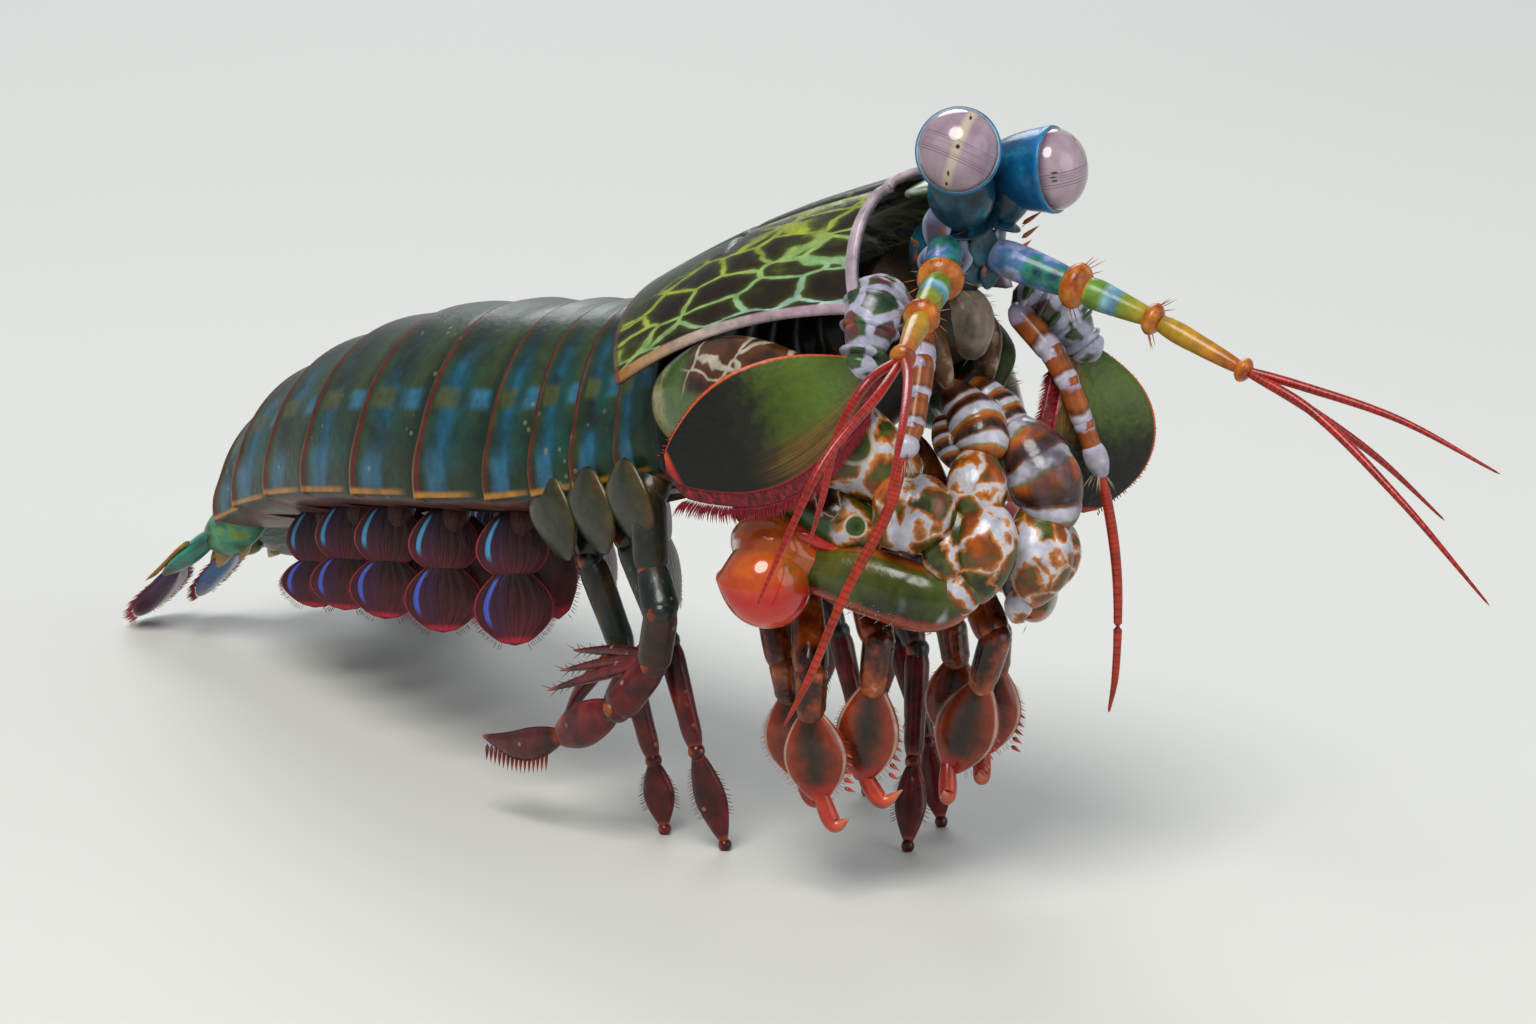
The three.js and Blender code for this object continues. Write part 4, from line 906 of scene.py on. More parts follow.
CUP_PROFILE = [
    Vector((distance, radius, 0)) for distance, radius in (
        (-5.6, 1.9), (-4.6, 2.55), (-3.2, 3.02), (-1.7, 3.3), (-0.55, 3.46), (-0.1, 3.55), (0.16, 3.5),
        (0.2, 3.32), (-0.1, 3.1),
    )
]
for side, eye in EYES.items():
    gaze, level, high = eye_axes(eye["gaze"])
    rim, neck, foot = (Vector(eye[key]) for key in ("rim", "neck", "foot"))

    def cup_sheet(x, y):
        turned = course(CUP_PROFILE, y)[0]
        c, s = math.cos(math.pi * x), math.sin(math.pi * x)
        flute = 1 + 0.008 * math.sin(9 * math.pi * x) * rise(0.75, 0.4, y)
        return rim + gaze * turned.x + (level * c + high * 1.035 * s) * turned.y * flute, (c, y, s)

    stalk = Moulding()
    stalk.sheet(64, 36, cup_sheet, part=1, closed=True)
    stalk.limb([foot, neck, rim - gaze * 3.4], eye["stem"], sides=32, rows=26, cap=0.35)
    collar = foot.lerp(neck, 0.35)
    stalk.limb(
        [foot.lerp(collar, 0.2), collar], [2.3, eye["stem"][0] + 0.35, 2.2], sides=28, rows=12, cap=0.4,
    )
    stalk.done("eye_stalk_" + side, stalk_finish, "eye_stalk")


# The eye segment: the small movable front block of the head that carries the eyes and the antennules, plated
# with little lilac-edged scales and spines.
def plate_on(form, centre, normal, up, wide, tall, thick=0.35, part=1.0):
    normal, up = Vector(normal).normalized(), Vector(up).normalized()
    centre = Vector(centre)
    widths, depths = [wide * 0.7, wide, wide * 0.8], [thick, thick * 1.3, thick * 0.8]
    form.limb([centre - up * tall, centre + up * tall], widths, depths, normal, 20, 16, 0.45, part)


segment = Moulding()
segment.limb(
    [(20.8, 0.6, 53.2), (23.0, 1.0, 56.4), (24.4, 1.5, 59.4)], [3.2, 3.7, 3.5, 2.7], sides=32, rows=28,
)
segment.limb([(22.2, -2.4, 55.4), (24.2, 0.9, 56.6), (24, 4.4, 56.0)], [1.6, 2.5, 1.7], sides=24, rows=24)
for x, y, z, wide, tall, part in (
    (24.8, -2.6, 59.0, 1.3, 2.1, 1), (25.6, -1.2, 56.4, 1.5, 1.9, 1), (26.7, 0.9, 57.2, 1.5, 1.9, 0),
    (26.3, 3.0, 57.4, 1.2, 1.7, 1), (24.4, 5.0, 57.8, 1.0, 1.5, 1), (26.2, 2.2, 54.8, 1.5, 1.5, 0),
    (24.6, -3.2, 56.0, 1.1, 1.5, 1),
):
    plate_on(segment, (x, y, z), (x - 22.5, y - 1.2, 1.4), (0.1, 0.1, 1), wide, tall, part=part)
for x, y, z in ((26.6, 5.4, 58.6), (27.4, 4.6, 57.6), (24.4, -4.2, 57.4), (27.9, 3.6, 56.6)):
    segment.spine((x, y, z), (x + 0.9, y + 0.35 * (y - 1), z + 1.1), 0.28, part=2)
for k in range(26):
    root = Vector((25.4 + 1.6 * dice.random(), dice.uniform(-4, 6), 55.8 + 2.6 * dice.random()))
    segment.hair(
        root, root + Vector((dice.uniform(0.4, 1.2), dice.uniform(-0.6, 0.6), dice.uniform(-0.2, 0.9))),
        0.05,
    )
segment_finish = p = Finish("eye_segment_chitin", roughness=0.33, coat=0.3)
skin = p.ramp(p.noise(300, 4.0), "0.34 0c2a34 0.5 12485c 0.62 2a6e7c 0.74 5d7a3a")
scaled = p.ramp(p.most(p.size(p.side), p.along), "0.0 2c5068 0.5 5a4a58 0.74 93a0c8 0.92 c9cce4")
skin = p.over(skin, scaled, p.only(1))
skin = p.over(skin, "c4602a", p.times(p.step(p.noise(520, 3.0), 0.6, 0.7), 0.6))
skin = p.over(skin, "c8662c", p.past(2))
p.close(skin, (700, 0.1), (1300, 0.07), pits=(700.0, 0.1, 0.5))
segment.done("eye_segment", segment_finish, "eye_segment")


# The antennules: three tubes of banded chitin on each side, joined by swollen orange rings with short
# bristles, that end in three long red whips of fine rings.
ANTENNULES = {
    "r": (
        [(25.0, -1.8, 57.2), (29.0, -6.0, 55.4), (34.0, -12.6, 53.8), (38.9, -19.0, 52.0)],
        [2.1, 1.75, 1.35, 0.95],
        [
            [
                (38.8, -18.8, 52), (39.1, -22.7, 50.6), (38.3, -24.9, 47), (37.6, -26.1, 41.5),
                (36.6, -26.6, 37.6),
            ],
            [(38.8, -18.8, 52), (41.6, -24, 50), (42, -29.5, 46), (41.4, -33, 40), (40.6, -35.2, 35)],
            [(38.8, -18.8, 52), (44.5, -23.5, 51.6), (50, -29, 49.5), (54, -34, 45.5)],
        ],
    ),
    "l": (
        [(26.6, 2.4, 56.4), (33.4, 5.4, 54.2), (39.3, 8.4, 51.9), (46.8, 11.3, 48.4)],
        [2.2, 1.8, 1.25, 0.95],
        [
            [(46.6, 11.2, 48.5), (50.6, 13.8, 47.4), (57.5, 18.1, 45.1), (65, 21.9, 41.3)],
            [(46.6, 11.2, 48.5), (52.7, 12.7, 45.9), (61.2, 14.2, 39.7), (69.2, 16.1, 32.2)],
            [(46.6, 11.2, 48.5), (49.4, 14.8, 45.8), (52.4, 21, 41), (54.4, 28, 34.7)],
        ],
    ),
}
antennule_finish = p = Finish("antennule_chitin", roughness=0.3, coat=0.35)
mottled = p.shaken(p.place, 0.0006, 700)
root_skin = p.ramp(p.noise(330, 3.0, mottled), "0.34 1d3f5a 0.45 2f9478 0.53 5a86c4 0.6 a7b0e0 0.7 6f8a2a")
second = p.ramp(
    p.along, "0.16 c9b23a 0.24 6a9a38 0.36 7aa02e 0.42 9ad0d8 0.52 6aa8cc 0.60 8aa22c 0.9 c8a824",
)
third = p.ramp(p.along, "0.1 c8a020 0.5 d29a1e 0.85 cc6a1c 1.0 c4471a")
collar = p.ramp(p.noise(700, 3.0), "0.35 a8461a 0.5 d8761e 0.7 e89a34")
whip = p.ramp(p.fract(p.times(p.along, 46.0)), "0.0 8c120e 0.2 b81e12 0.8 c4281a 1.0 6c0e0c")
skin = p.by_part(root_skin, {1: second, 2: third, 3: whip, 4: collar, 9: "c8742c"})
p.close(skin, (800, 0.1), (1500, 0.05), gloss=(420, 0.22, 0.4))

for side, (stalk, radii, whips) in ANTENNULES.items():
    antennule = Moulding()
    stalk = [Vector(joint) for joint in stalk]
    for k, (start, end) in enumerate(zip(stalk, stalk[1:])):
        a, b = radii[k], radii[k + 1]
        ahead = (end - start).normalized()
        slim = 0.82 if k else 1.0
        line = [start - ahead * 0.4 * a, end + ahead * 0.3 * b]
        antennule.limb(
            line, [slim * a, 0.8 * a, 0.76 * mix(a, b, 0.5), 0.84 * b, 0.92 * b], sides=24, rows=24,
            cap=0.35, part=k,
        )
        size = 1.12 * b
        ring = [end - ahead * 0.75 * size, end + ahead * 0.55 * size]
        antennule.limb(ring, [0.86 * size, size, 0.9 * size], sides=26, rows=14, cap=0.35, part=4)
        for j in range(16 if k < 2 else 0):
            away = ahead.cross(Vector((0.1, 0.2, 1))).normalized()
            spoke = Matrix.Rotation(2 * math.pi * j / 16 + 0.2, 3, ahead) @ away
            root = end + spoke * 0.9 * size
            antennule.hair(
                root, root + spoke * dice.uniform(0.7, 1.5) + ahead * dice.uniform(0.5, 1.1), 0.06,
            )
    for points in whips:
        antennule.limb(points, [0.5, 0.42, 0.36, 0.28, 0.16], sides=10, rows=60, cap=0.2, part=3)
    antennule.done("antennule_" + side, antennule_finish, "antennule")


# The antennae: under the eyes, four white and brown banded tubes on each side, a white last joint with a
# tuft of bristles, and one long orange-red whip.
ANTENNAE = {
    "r": (
        [(25.2, -4.6, 51.2), (28.5, -7.4, 48.4), (29.4, -8.7, 46), (30.3, -10, 43.8), (30.9, -11.4, 42.3)],
        [
            (30.9, -11.3, 42.4), (30.9, -13.3, 37.4), (29.9, -16.8, 31.2), (28.3, -19.6, 23.7),
            (27, -21, 19.9),
        ],
    ),
    "l": (
        [(26.0, 5.8, 51.0), (29.4, 6.6, 47.8), (30.8, 7, 45.6), (32, 7.8, 42), (32.9, 8.7, 38.6)],
        [(32.8, 8.6, 38.9), (33.4, 9.5, 34.7), (33.6, 10.5, 28.5), (33.5, 10.6, 20), (32.9, 10.5, 16.6)],
    ),
}
antenna_finish = p = Finish("antenna_chitin", roughness=0.32, coat=0.3)
bands = p.fma(p.noise(520, 2.0), 0.35, p.minus(p.along, 0.17))
tube = p.ramp(bands, "0.08 d9d2e4 0.24 b9a8c8 0.3 a4501c 0.56 b8641e 0.66 8a3a16 0.74 dcd6e6 1.0 c9c4e0")
node = p.ramp(p.noise(500), "0.35 c4bcd8 0.6 e8e4f0")
whip = p.ramp(p.fract(p.times(p.along, 54.0)), "0.0 98200f 0.2 c4371a 0.8 c93a1c 1.0 84180e")
skin = p.by_part(tube, {1: node, 3: whip, 9: "d8c8b0"})
p.close(skin, (800, 0.1), (1500, 0.05))

for side, (stalk, whip_points) in ANTENNAE.items():
    antenna = Moulding()
    jointed(antenna, stalk, [1.45, 1.2, 1.08, 1.0, 0.85], 1.0, (0, 0, 1), 22, 20, part=0, parts=0)
    end, before = Vector(stalk[-1]), Vector(stalk[-2])
    antenna.limb(
        [before.lerp(end, 0.35), end + (end - before) * 0.35], [0.95, 1.05, 0.98, 0.7], sides=20, rows=14,
        part=1,
    )
    antenna.limb(whip_points, [0.62, 0.5, 0.42, 0.34, 0.2], sides=10, rows=64, cap=0.2, part=3)
    for k in range(22):
        away = Vector((dice.uniform(-1, 1), dice.uniform(-1, 1), -1.2 - dice.random())).normalized()
        antenna.hair(end + away * 0.7, end + away * dice.uniform(1.8, 3.0), 0.045)
    antenna.done("antenna_" + side, antenna_finish, "antenna")


# The antennal scales: a jointed knob like a coil on each side of the head, and a broad thin oval blade with a
# beaded red rim and a dense crimson fringe.
SCALES = {
    "r": {
        "knob": [(22, -5.4, 53.2), (22.9, -7.6, 52.2), (24.2, -10.4, 47.8)],
        "blade": [(25.1, -9, 48.4), (22.1, -17.5, 44.3), (15.9, -24.2, 39.8)],
        "facing": (0.72, -0.68, 0.02), "edge": 1,
    },
    "l": {
        "knob": [(24.6, 6.4, 52.6), (27, 9.2, 50.8), (29, 11, 47.4)],
        "blade": [(28.4, 10.4, 48.9), (31.3, 10.8, 41.6), (29.5, 10.3, 33.6)], "facing": (0.9, -0.25, 0.25),
        "edge": -1,
    },
}
blade_widths = [1.5, 3.8, 4.9, 5.0, 3.7]
hem_widths = [1.0, 3.2, 4.6, 4.7, 3.3]


def beaded(t, turn):
    return 1 + 0.021 * abs(math.cos(turn)) ** 40 + 0.1 * abs(math.sin(turn)) ** 30


for side, plan in SCALES.items():
    edge = plan["edge"]
    flat = Vector(plan["facing"]).normalized()
    line = [Vector(point) for point in plan["blade"]]
    finish = p = Finish("scale_blade_" + side, roughness=0.36, coat=0.12)
    outer = p.times(p.side, float(edge))
    grain = p.noise(900, 3.0)
    skin = p.ramp(p.fma(grain, 0.25, p.along), "0.2 2c3a10 0.42 465a14 0.6 38460c 0.72 141806 0.84 050403")
    streaks = p.noise(1.0, 3.0, p.stretched(p.lay, (26.0, 2.2, 26.0)))
    inner = p.times(p.step(outer, 0.15, 0.7), p.flip(p.step(p.along, 0.45, 0.72)))
    skin = p.over(skin, p.ramp(streaks, "0.38 3a2410 0.52 5e3a16 0.62 7a5018"), p.times(inner, 0.8))
    skin = p.over(
        skin, "8fb0a0", p.times(p.step(p.flip(p.along), 0.86, 0.94), p.step(p.noise(420), 0.42, 0.55)),
    )
    rim = p.most(p.step(p.size(p.side), 0.955, 0.985), p.step(p.along, 0.955, 0.975))
    skin = p.over(skin, p.ramp(p.fma(outer, 0.5, 0.5), "0.0 b84a1c 0.5 9a241a 1.0 84121c"), rim)
    hem = p.ramp(
        p.noise(1.0, 3.0, p.stretched(p.lay, (3.0, 60.0, 3.0))), "0.35 360409 0.55 680c16 0.7 8e1a1e",
    )
    skin = p.over(skin, hem, p.only(1))
    skin = p.over(skin, p.ramp(p.along, "0.0 500812 0.6 7e1220 1.0 a02c2c"), p.past(9))
    p.colour(skin).relief(p.cells(1900.0), 0.09, 0.7).relief(p.noise(260), 0.2, 0.5).rough(grain, 0.3, 0.5)
    leaf = Moulding()
    leaf.limb(line, blade_widths, [0.6, 0.52, 0.44, 0.4, 0.34], flat, 56, 48, 0.4, 0, beaded)
    ahead = (line[2] - line[0]).normalized()
    outward = flat.cross(ahead).normalized() * edge * 1.6
    hem_line = [point + outward - flat * 0.25 for point in line]
    leaf.limb(hem_line, hem_widths, [0.3, 0.28, 0.26, 0.24, 0.22], flat, 48, 40, 0.4, 1)
    for source, widths, turn, count, length in (
        (hem_line, hem_widths, edge, 260, 1.7), (line, blade_widths, -edge, 60, 0.5),
    ):
        fringe(leaf, source, widths, flat, turn, count, length, 0.085, 9, 0.12, 1.0, 0.55)
    leaf.done("antennal_scale_" + side, finish, "antennal_scale")

knob_finish = p = Finish("scale_knob_chitin", roughness=0.32, coat=0.3)
netting = p.cells(400.0, p.shaken(p.place, 0.0012, 420), "DISTANCE_TO_EDGE", 1.0)
patch = p.ramp(p.noise(420, 3.0), "0.36 2a4a3a 0.5 4a6a34 0.6 6a3a4a 0.72 a85a34")
skin = p.over("c9c8e0", patch, p.step(netting, 0.10, 0.20))
skin = p.over(skin, p.ramp(p.noise(600), "0.4 b8a8c0 0.6 e2dfea"), p.step(p.along, 0.80, 0.9))
p.close(skin, (800, 0.1), (1300, 0.06))
for side, plan in SCALES.items():
    knob = Moulding()
    points = [Vector(point) for point in plan["knob"]]
    knob.limb(points, [2.1, 2.5, 1.8], sides=28, rows=24)
    for k in range(5):
        centre, ahead = course(points, 0.12 + 0.19 * k)
        size = (2.35, 2.75, 2.85, 2.5, 2.05)[k]
        coil = [centre - ahead * 0.75, centre + ahead * 0.7]
        widths = [size * share for share in (0.8, 1.0, 1.02, 0.86)]
        depths = [size * share for share in (0.76, 0.94, 0.96, 0.8)]
        knob.limb(coil, widths, depths, sides=30, rows=16, cap=0.4, part=k)
    _, ahead = course(points, 0.98)
    knob.limb(
        [points[2] - ahead * 1.4, points[2] + ahead * 1.1], [1.5, 1.8, 1.1], sides=24, rows=16, part=5,
    )
    knob.done("scale_knob_" + side, knob_finish, "antennal_scale", replaces=False)


# The head: the soft-skinned trunk under the shield, the grey-brown lip over the mouth, and the jaws beside it
# with a hairy green palp.
head = Moulding()


def trunk_sheet(x, y):
    c, s = math.cos(math.pi * x), math.sin(math.pi * x)
    wide, low = mix(9.0, 6.4, y), mix(-4, 0, y * y)
    fold = 1 + 0.03 * math.sin(16 * math.pi * y)
    return at(SHIELD, mix(0.6, 23.4, y), c * wide * fold, mix(low, 11.6, 0.5 + 0.5 * s)), (c, y, s)


head.sheet(64, 40, trunk_sheet, part=0, closed=True)
snout = places(SHIELD, (20, 0, 4), (25, 0, 4), (26.3, 0, 1))
head.limb(snout, [4.6, 4.4, 2.8], sides=32, rows=24, part=0)
lip_line = places(SHIELD, (24.6, 0.1, 5.4), (27.2, 0.1, 4.2), (27.5, 0.1, 0.4))
head.limb(lip_line, [1.9, 2.7, 2.5, 1.5], sides=32, rows=26, part=1)
for turn in (-1, 1):
    jaw_line = places(SHIELD, (24.2, 2.7, 5.8), (26.2, 3.4, 2.8), (26.0, 2.4, -1.6), turn=turn)
    head.limb(jaw_line, [1.0, 1.5, 1.3, 0.8], sides=24, rows=24, part=2)
    palp_line = places(SHIELD, (23.4, 4.6, 6.2), (25.2, 5.1, 2.2), (24.6, 4.2, -2.6), turn=turn)
    head.limb(palp_line, [1.2, 1.9, 2.0, 1.0], [0.7, 0.9, 0.8, 0.5], sides=24, rows=24, part=3)
    for k in range(40):
        t = (k + 0.5) / 40
        root = at(SHIELD, mix(24.4, 25.4, t), (5.9 - 0.6 * t) * turn, mix(6.4, -2.2, t))
        head.hair(root, root + Vector((dice.uniform(0.2, 0.9), 1.3 * turn, dice.uniform(-0.5, 0.3))), 0.05)
head_finish = p = Finish("mouth_skin", roughness=0.4, coat=0.2)
trunk = p.ramp(p.noise(260, 4.0), "0.35 0e0a06 0.55 241a0e 0.72 3a2a18")
lip = p.ramp(p.noise(380, 4.0), "0.32 3f352c 0.5 6f6152 0.68 8f8270")
jaw = p.ramp(p.noise(380, 4.0), "0.35 2c1a0e 0.55 5c3a1e 0.7 b89c88")
palp = p.ramp(p.noise(380, 4.0), "0.35 1e2a10 0.55 3c4c1c 0.7 5f6c2c")
skin = p.by_part(trunk, {1: lip, 2: jaw, 3: palp, 9: "a89878"})
p.colour(skin).relief(p.noise(700, 4.0), 0.15).relief(p.noise(1600), 0.05)
head.done("head", head_finish, "head")


# The raptorial claws: a pair of folded striking arms of thick glossy shell. The upper arm is a long flattened
# tube against the flank, green and spotted behind, mottled olive, white and orange in front.
def mottle(p, scale):
    """Olive, brown and orange islands in a white net"""
    spread = p.cells(scale, p.shaken(p.place, 0.0026, 420.0, 3.0), "DISTANCE_TO_EDGE", 1.0)
    spread = p.fma(p.noise(380, 3.0), 0.55, p.minus(spread, 0.24))
    islands = p.ramp(p.noise(300, 3.0), "0.36 333a0e 0.46 5c6418 0.52 7c4814 0.62 b85412 0.7 d0701c")
    ringed = p.ramp(spread, "0.03 dcdcee 0.07 e8e0dc 0.11 dc8a3c 0.18 b4541a")
    return p.over(ringed, islands, p.step(spread, 0.14, 0.21))


def island(p, along, above, reach_along, reach_above):
    """How far a point of the finish is from the middle of one oval patch, 1 at its edge"""
    fed = (p.add("CombineXYZ", (p.along, p.above, 0.0)).outputs[0], (along, above, 0.0))
    offset = p.add("VectorMath", fed, operation="SUBTRACT").outputs[0]
    shares = p.stretched(offset, (1 / reach_along, 1 / reach_above, 0.0))
    return p.add("VectorMath", (shares,), operation="LENGTH").outputs["Value"]


merus_finish = p = Finish("upper_arm_shell", roughness=0.24, coat=0.5)
green = p.ramp(
    p.fma(p.noise(240, 4.0), 0.4, p.times(p.along, 0.6)), "0.2 7d8c34 0.34 42661c 0.6 2c4c14 0.9 44541e",
)
netting = p.cells(1.0, p.shaken(p.stretched(p.lay, (0.2, 7.5, 1.6)), 0.3, 2.0), "DISTANCE_TO_EDGE", 0.8)
spotted = p.over(
    "cfc6b4", p.ramp(netting, "0.05 6a3a18 0.2 3a1c0c 0.5 241208"), p.step(netting, 0.015, 0.045),
)
high_side = p.times(p.step(p.above, 0.12, 0.3), p.band(p.along, 0.2, 0.28, 0.60, 0.7))
skin = p.over(green, spotted, high_side)
frayed = p.flip(p.step(p.fma(p.noise(500, 3.0), 0.12, p.along), 0.13, 0.2))
skin = p.over(skin, p.ramp(p.noise(420, 3.0), "0.35 5a5224 0.5 a09a3c 0.62 b8a880 0.75 6a4a28"), frayed)
skin = p.over(skin, mottle(p, 250.0), p.step(p.fma(p.noise(260), 0.2, p.along), 0.70, 0.78))
patch = island(p, 0.785, 0.34, 0.075, 0.42)
ringed = p.ramp(patch, "0.0 2c4420 0.62 46602a 0.82 5e5a2a 0.9 c8b890 1.0 dcd4cc")
skin = p.over(
    skin, ringed, p.times(p.flip(p.step(patch, 1.0, 1.15)), p.step(p.times(p.side, -1.0), -0.1, 0.1)),
)
p.close(skin, (700, 0.1), (1300, 0.05), pits=(560.0, 0.08, 0.5), gloss=(380, 0.16, 0.32))

claw_finish = p = Finish("claw_shell", roughness=0.22, coat=0.55)
skin = p.over(mottle(p, 290.0), "c0501a", p.times(p.step(p.along, 0.84, 0.97), 0.7))
skin = p.over(skin, "d86a20", p.times(p.flip(p.step(p.along, 0.03, 0.16)), 0.7))
p.close(skin, (700, 0.1), (1300, 0.05), pits=(600.0, 0.06, 0.5), gloss=(380, 0.15, 0.3))

band_finish = p = Finish("banded_joint_shell", roughness=0.26, coat=0.45)
waved = p.fract(p.fma(p.along, 4.0, p.times(p.noise(220, 3.0), 0.7)))
skin = p.ramp(
    waved,
    "0.02 3a1c10 0.1 8a5028 0.18 dcdcf0 0.40 e4e0ee 0.46 a09a60 0.52 d87c24 "
    "0.66 b4541a 0.78 6a3c1c 0.9 42241a",
)
skin = p.over(skin, "4a3a4c", p.times(p.past(4), p.times(p.step(p.noise(240, 3.0), 0.42, 0.6), 0.8)))
p.close(skin, (700, 0.1), (1300, 0.06))

fist_finish = p = Finish("fist_shell", roughness=0.22, coat=0.55)
skin = p.ramp(
    p.fma(p.noise(210, 3.0), 0.8, p.times(p.above, 0.15)), "0.25 2c3408 0.42 4e5a10 0.55 625c12 0.7 864c10",
)
blots = p.cells(300.0, p.shaken(p.place, 0.0012, 400.0), "F1", 1.0)
near_ends = p.sum("ADD", p.band(p.along, 0.62, 0.68, 0.78, 0.84), p.band(p.along, 0.16, 0.22, 0.3, 0.36))
skin = p.over(skin, "c4cfdc", p.times(p.flip(p.step(blots, 0.46, 0.6)), near_ends))
low = p.step(p.fma(p.noise(300), 0.4, p.times(p.above, -1.0)), 0.62, 0.86)
skin = p.over(skin, p.ramp(p.along, "0.2 b8461a 0.6 c4401a 0.9 c83a1e"), low)
skin = p.over(skin, "c8641e", p.step(p.above, 0.86, 0.97))
skin = p.over(skin, "c8541e", p.step(p.along, 0.82, 0.92))
p.close(skin, (700, 0.1), (1300, 0.05), gloss=(380, 0.15, 0.3))

club_finish = p = Finish("club_shell", roughness=0.13, coat=0.9, coat_roughness=0.05)
rosy = p.fma(p.noise(150, 3.0), 0.4, p.fma(p.along, 0.9, -0.2))
bulb = p.ramp(rosy, "0.16 d4705a 0.3 c43c2e 0.46 a81010 0.6 a0260a 0.74 8a3a0e")
white_spot = island(p, 0.56, -0.2, 0.16, 0.5)
bulb = p.over(
    bulb, "e6d4cc",
    p.times(p.flip(p.step(p.fma(p.noise(420), 0.5, white_spot), 0.7, 1.1)), p.step(p.side, 0.2, 0.5)),
)
shoulder = p.ramp(p.noise(240, 4.0), "0.34 902f0c 0.5 b44c12 0.62 84460f 0.74 5e3c0e")
shoulder = p.over(
    shoulder, "ead6d0", p.times(p.flip(p.step(p.along, 0.2, 0.34)), p.step(p.noise(330), 0.42, 0.52)),
)
spear = p.ramp(p.along, "0.0 c4541c 0.3 a8381a 0.7 b01e16 1.0 c84a2a")
skin = p.over(bulb, shoulder, p.most(p.past(1), p.step(p.fma(p.noise(260), 0.3, p.along), 0.62, 0.8)))
skin = p.over(skin, spear, p.past(2))
p.colour(skin).relief(p.noise(420), 0.12, 0.4)

CLAW_FACING = (0.75, -0.63, 0.1)
CLAWS = {
    "r": {
        "merus": [(1.6, -12.2, 5.2), (14.5, -12.2, 1.2), (24.2, -7.4, -8.6)],
        "wrist": [
            ([(29.6, -2.4, 37.4), (32.6, -3.8, 33.6), (32.0, -4.4, 28.4)], [2.0, 2.5, 2.5, 1.8]),
            ([(28.6, -4.6, 35.6), (30.2, -6.0, 32.6), (29.9, -5.8, 29.6)], [1.5, 2.1, 2.0, 1.5]),
            ([(28.6, -1.6, 41.0), (30.5, -3.1, 37.6), (30.6, -3.7, 33.8)], [2.0, 2.5, 2.4, 1.8]),
            ([(27.6, -4.6, 37.6), (30.0, -4.4, 33.0), (30.6, -4.4, 29.2)], [2.4, 3.0, 2.8, 2.2]),
            ([(30.4, -5.0, 32.0), (31.4, -5.6, 29.6), (30.2, -6.3, 27.6)], [1.3, 1.8, 1.3]),
            ([(25.6, -9.3, 38.6), (27.9, -7.6, 35.6), (28.4, -6.2, 32.6)], [2.6, 3.6, 3.4, 2.0]),
        ],
        "fist": [
            (31.7, -4.4, 28.9), (29.7, -7.2, 28.8), (25.2, -9.6, 29.8), (20.7, -11.9, 30.6),
            (17.6, -13.9, 30.9),
        ],
        "heel": (18.0, -15.6, 29.4),
        "shoulder": [(14.6, -16.0, 33.2), (17.6, -14.8, 32.4), (21.6, -12.2, 31.0)],
        "spear": [(16.2, -14.8, 34.4), (20.0, -13.0, 33.7), (24.2, -9.8, 31.5)],
        "ruff": [([(15.6, -12.2, 37.2), (20.6, -10.9, 35.2), (25.4, -8.4, 33.2)], [2.0, 2.7, 2.1])],
    },
    "l": {
        "merus": [(1.6, 12.2, 5.2), (14.5, 11.6, 1.2), (23.6, 5.0, -8.6)],
        "wrist": [
            ([(30.8, 3.0, 36.0), (33.0, 1.8, 31.8), (32.2, 1.5, 27.2)], [2.3, 2.8, 2.7, 1.9]),
            ([(30.4, 4.8, 35.0), (31.5, 4.4, 31.4), (30.6, 4.0, 27.6)], [2.2, 2.7, 2.0]),
            ([(32.0, 0.8, 29.0), (31.6, 0.5, 25.9)], [1.2, 1.2, 0.8]),
        ],
        "fist": [
            (31.0, 3.4, 27.0), (27.0, 7.0, 26.8), (22.0, 10.4, 27.4), (17.4, 13.2, 28.2),
            (14.6, 14.6, 28.6),
        ],
        "heel": (14.8, 15.8, 26.6),
        "shoulder": [(12.2, 15.6, 30.6), (14.2, 14.6, 30.4), (17.0, 13.0, 29.6)],
        "spear": [(14.2, 14.4, 31.2), (16.8, 13.2, 31.0), (20.6, 10.6, 29.4)],
        "ruff": [
            (
                [(25.6, 3.2, 42.2), (30.0, 3.2, 40.0), (32.6, 3.4, 36.4), (32.4, 3.5, 32.8)],
                [2.0, 2.9, 2.9, 2.2],
            ),
        ],
    },
}


def keeled(t, turn):
    return 1 + 0.05 * bump(math.sin(turn), -0.35, 0.12) * math.sin(math.pi * t)


def lobed(t, turn):
    return 1 + 0.05 * math.sin(3 * turn) * math.sin(math.pi * t)


def rippled(depth, count, lean):
    return lambda t, turn: 1 + depth * abs(math.sin(count * math.pi * (t + lean * math.sin(turn)))) ** 0.7


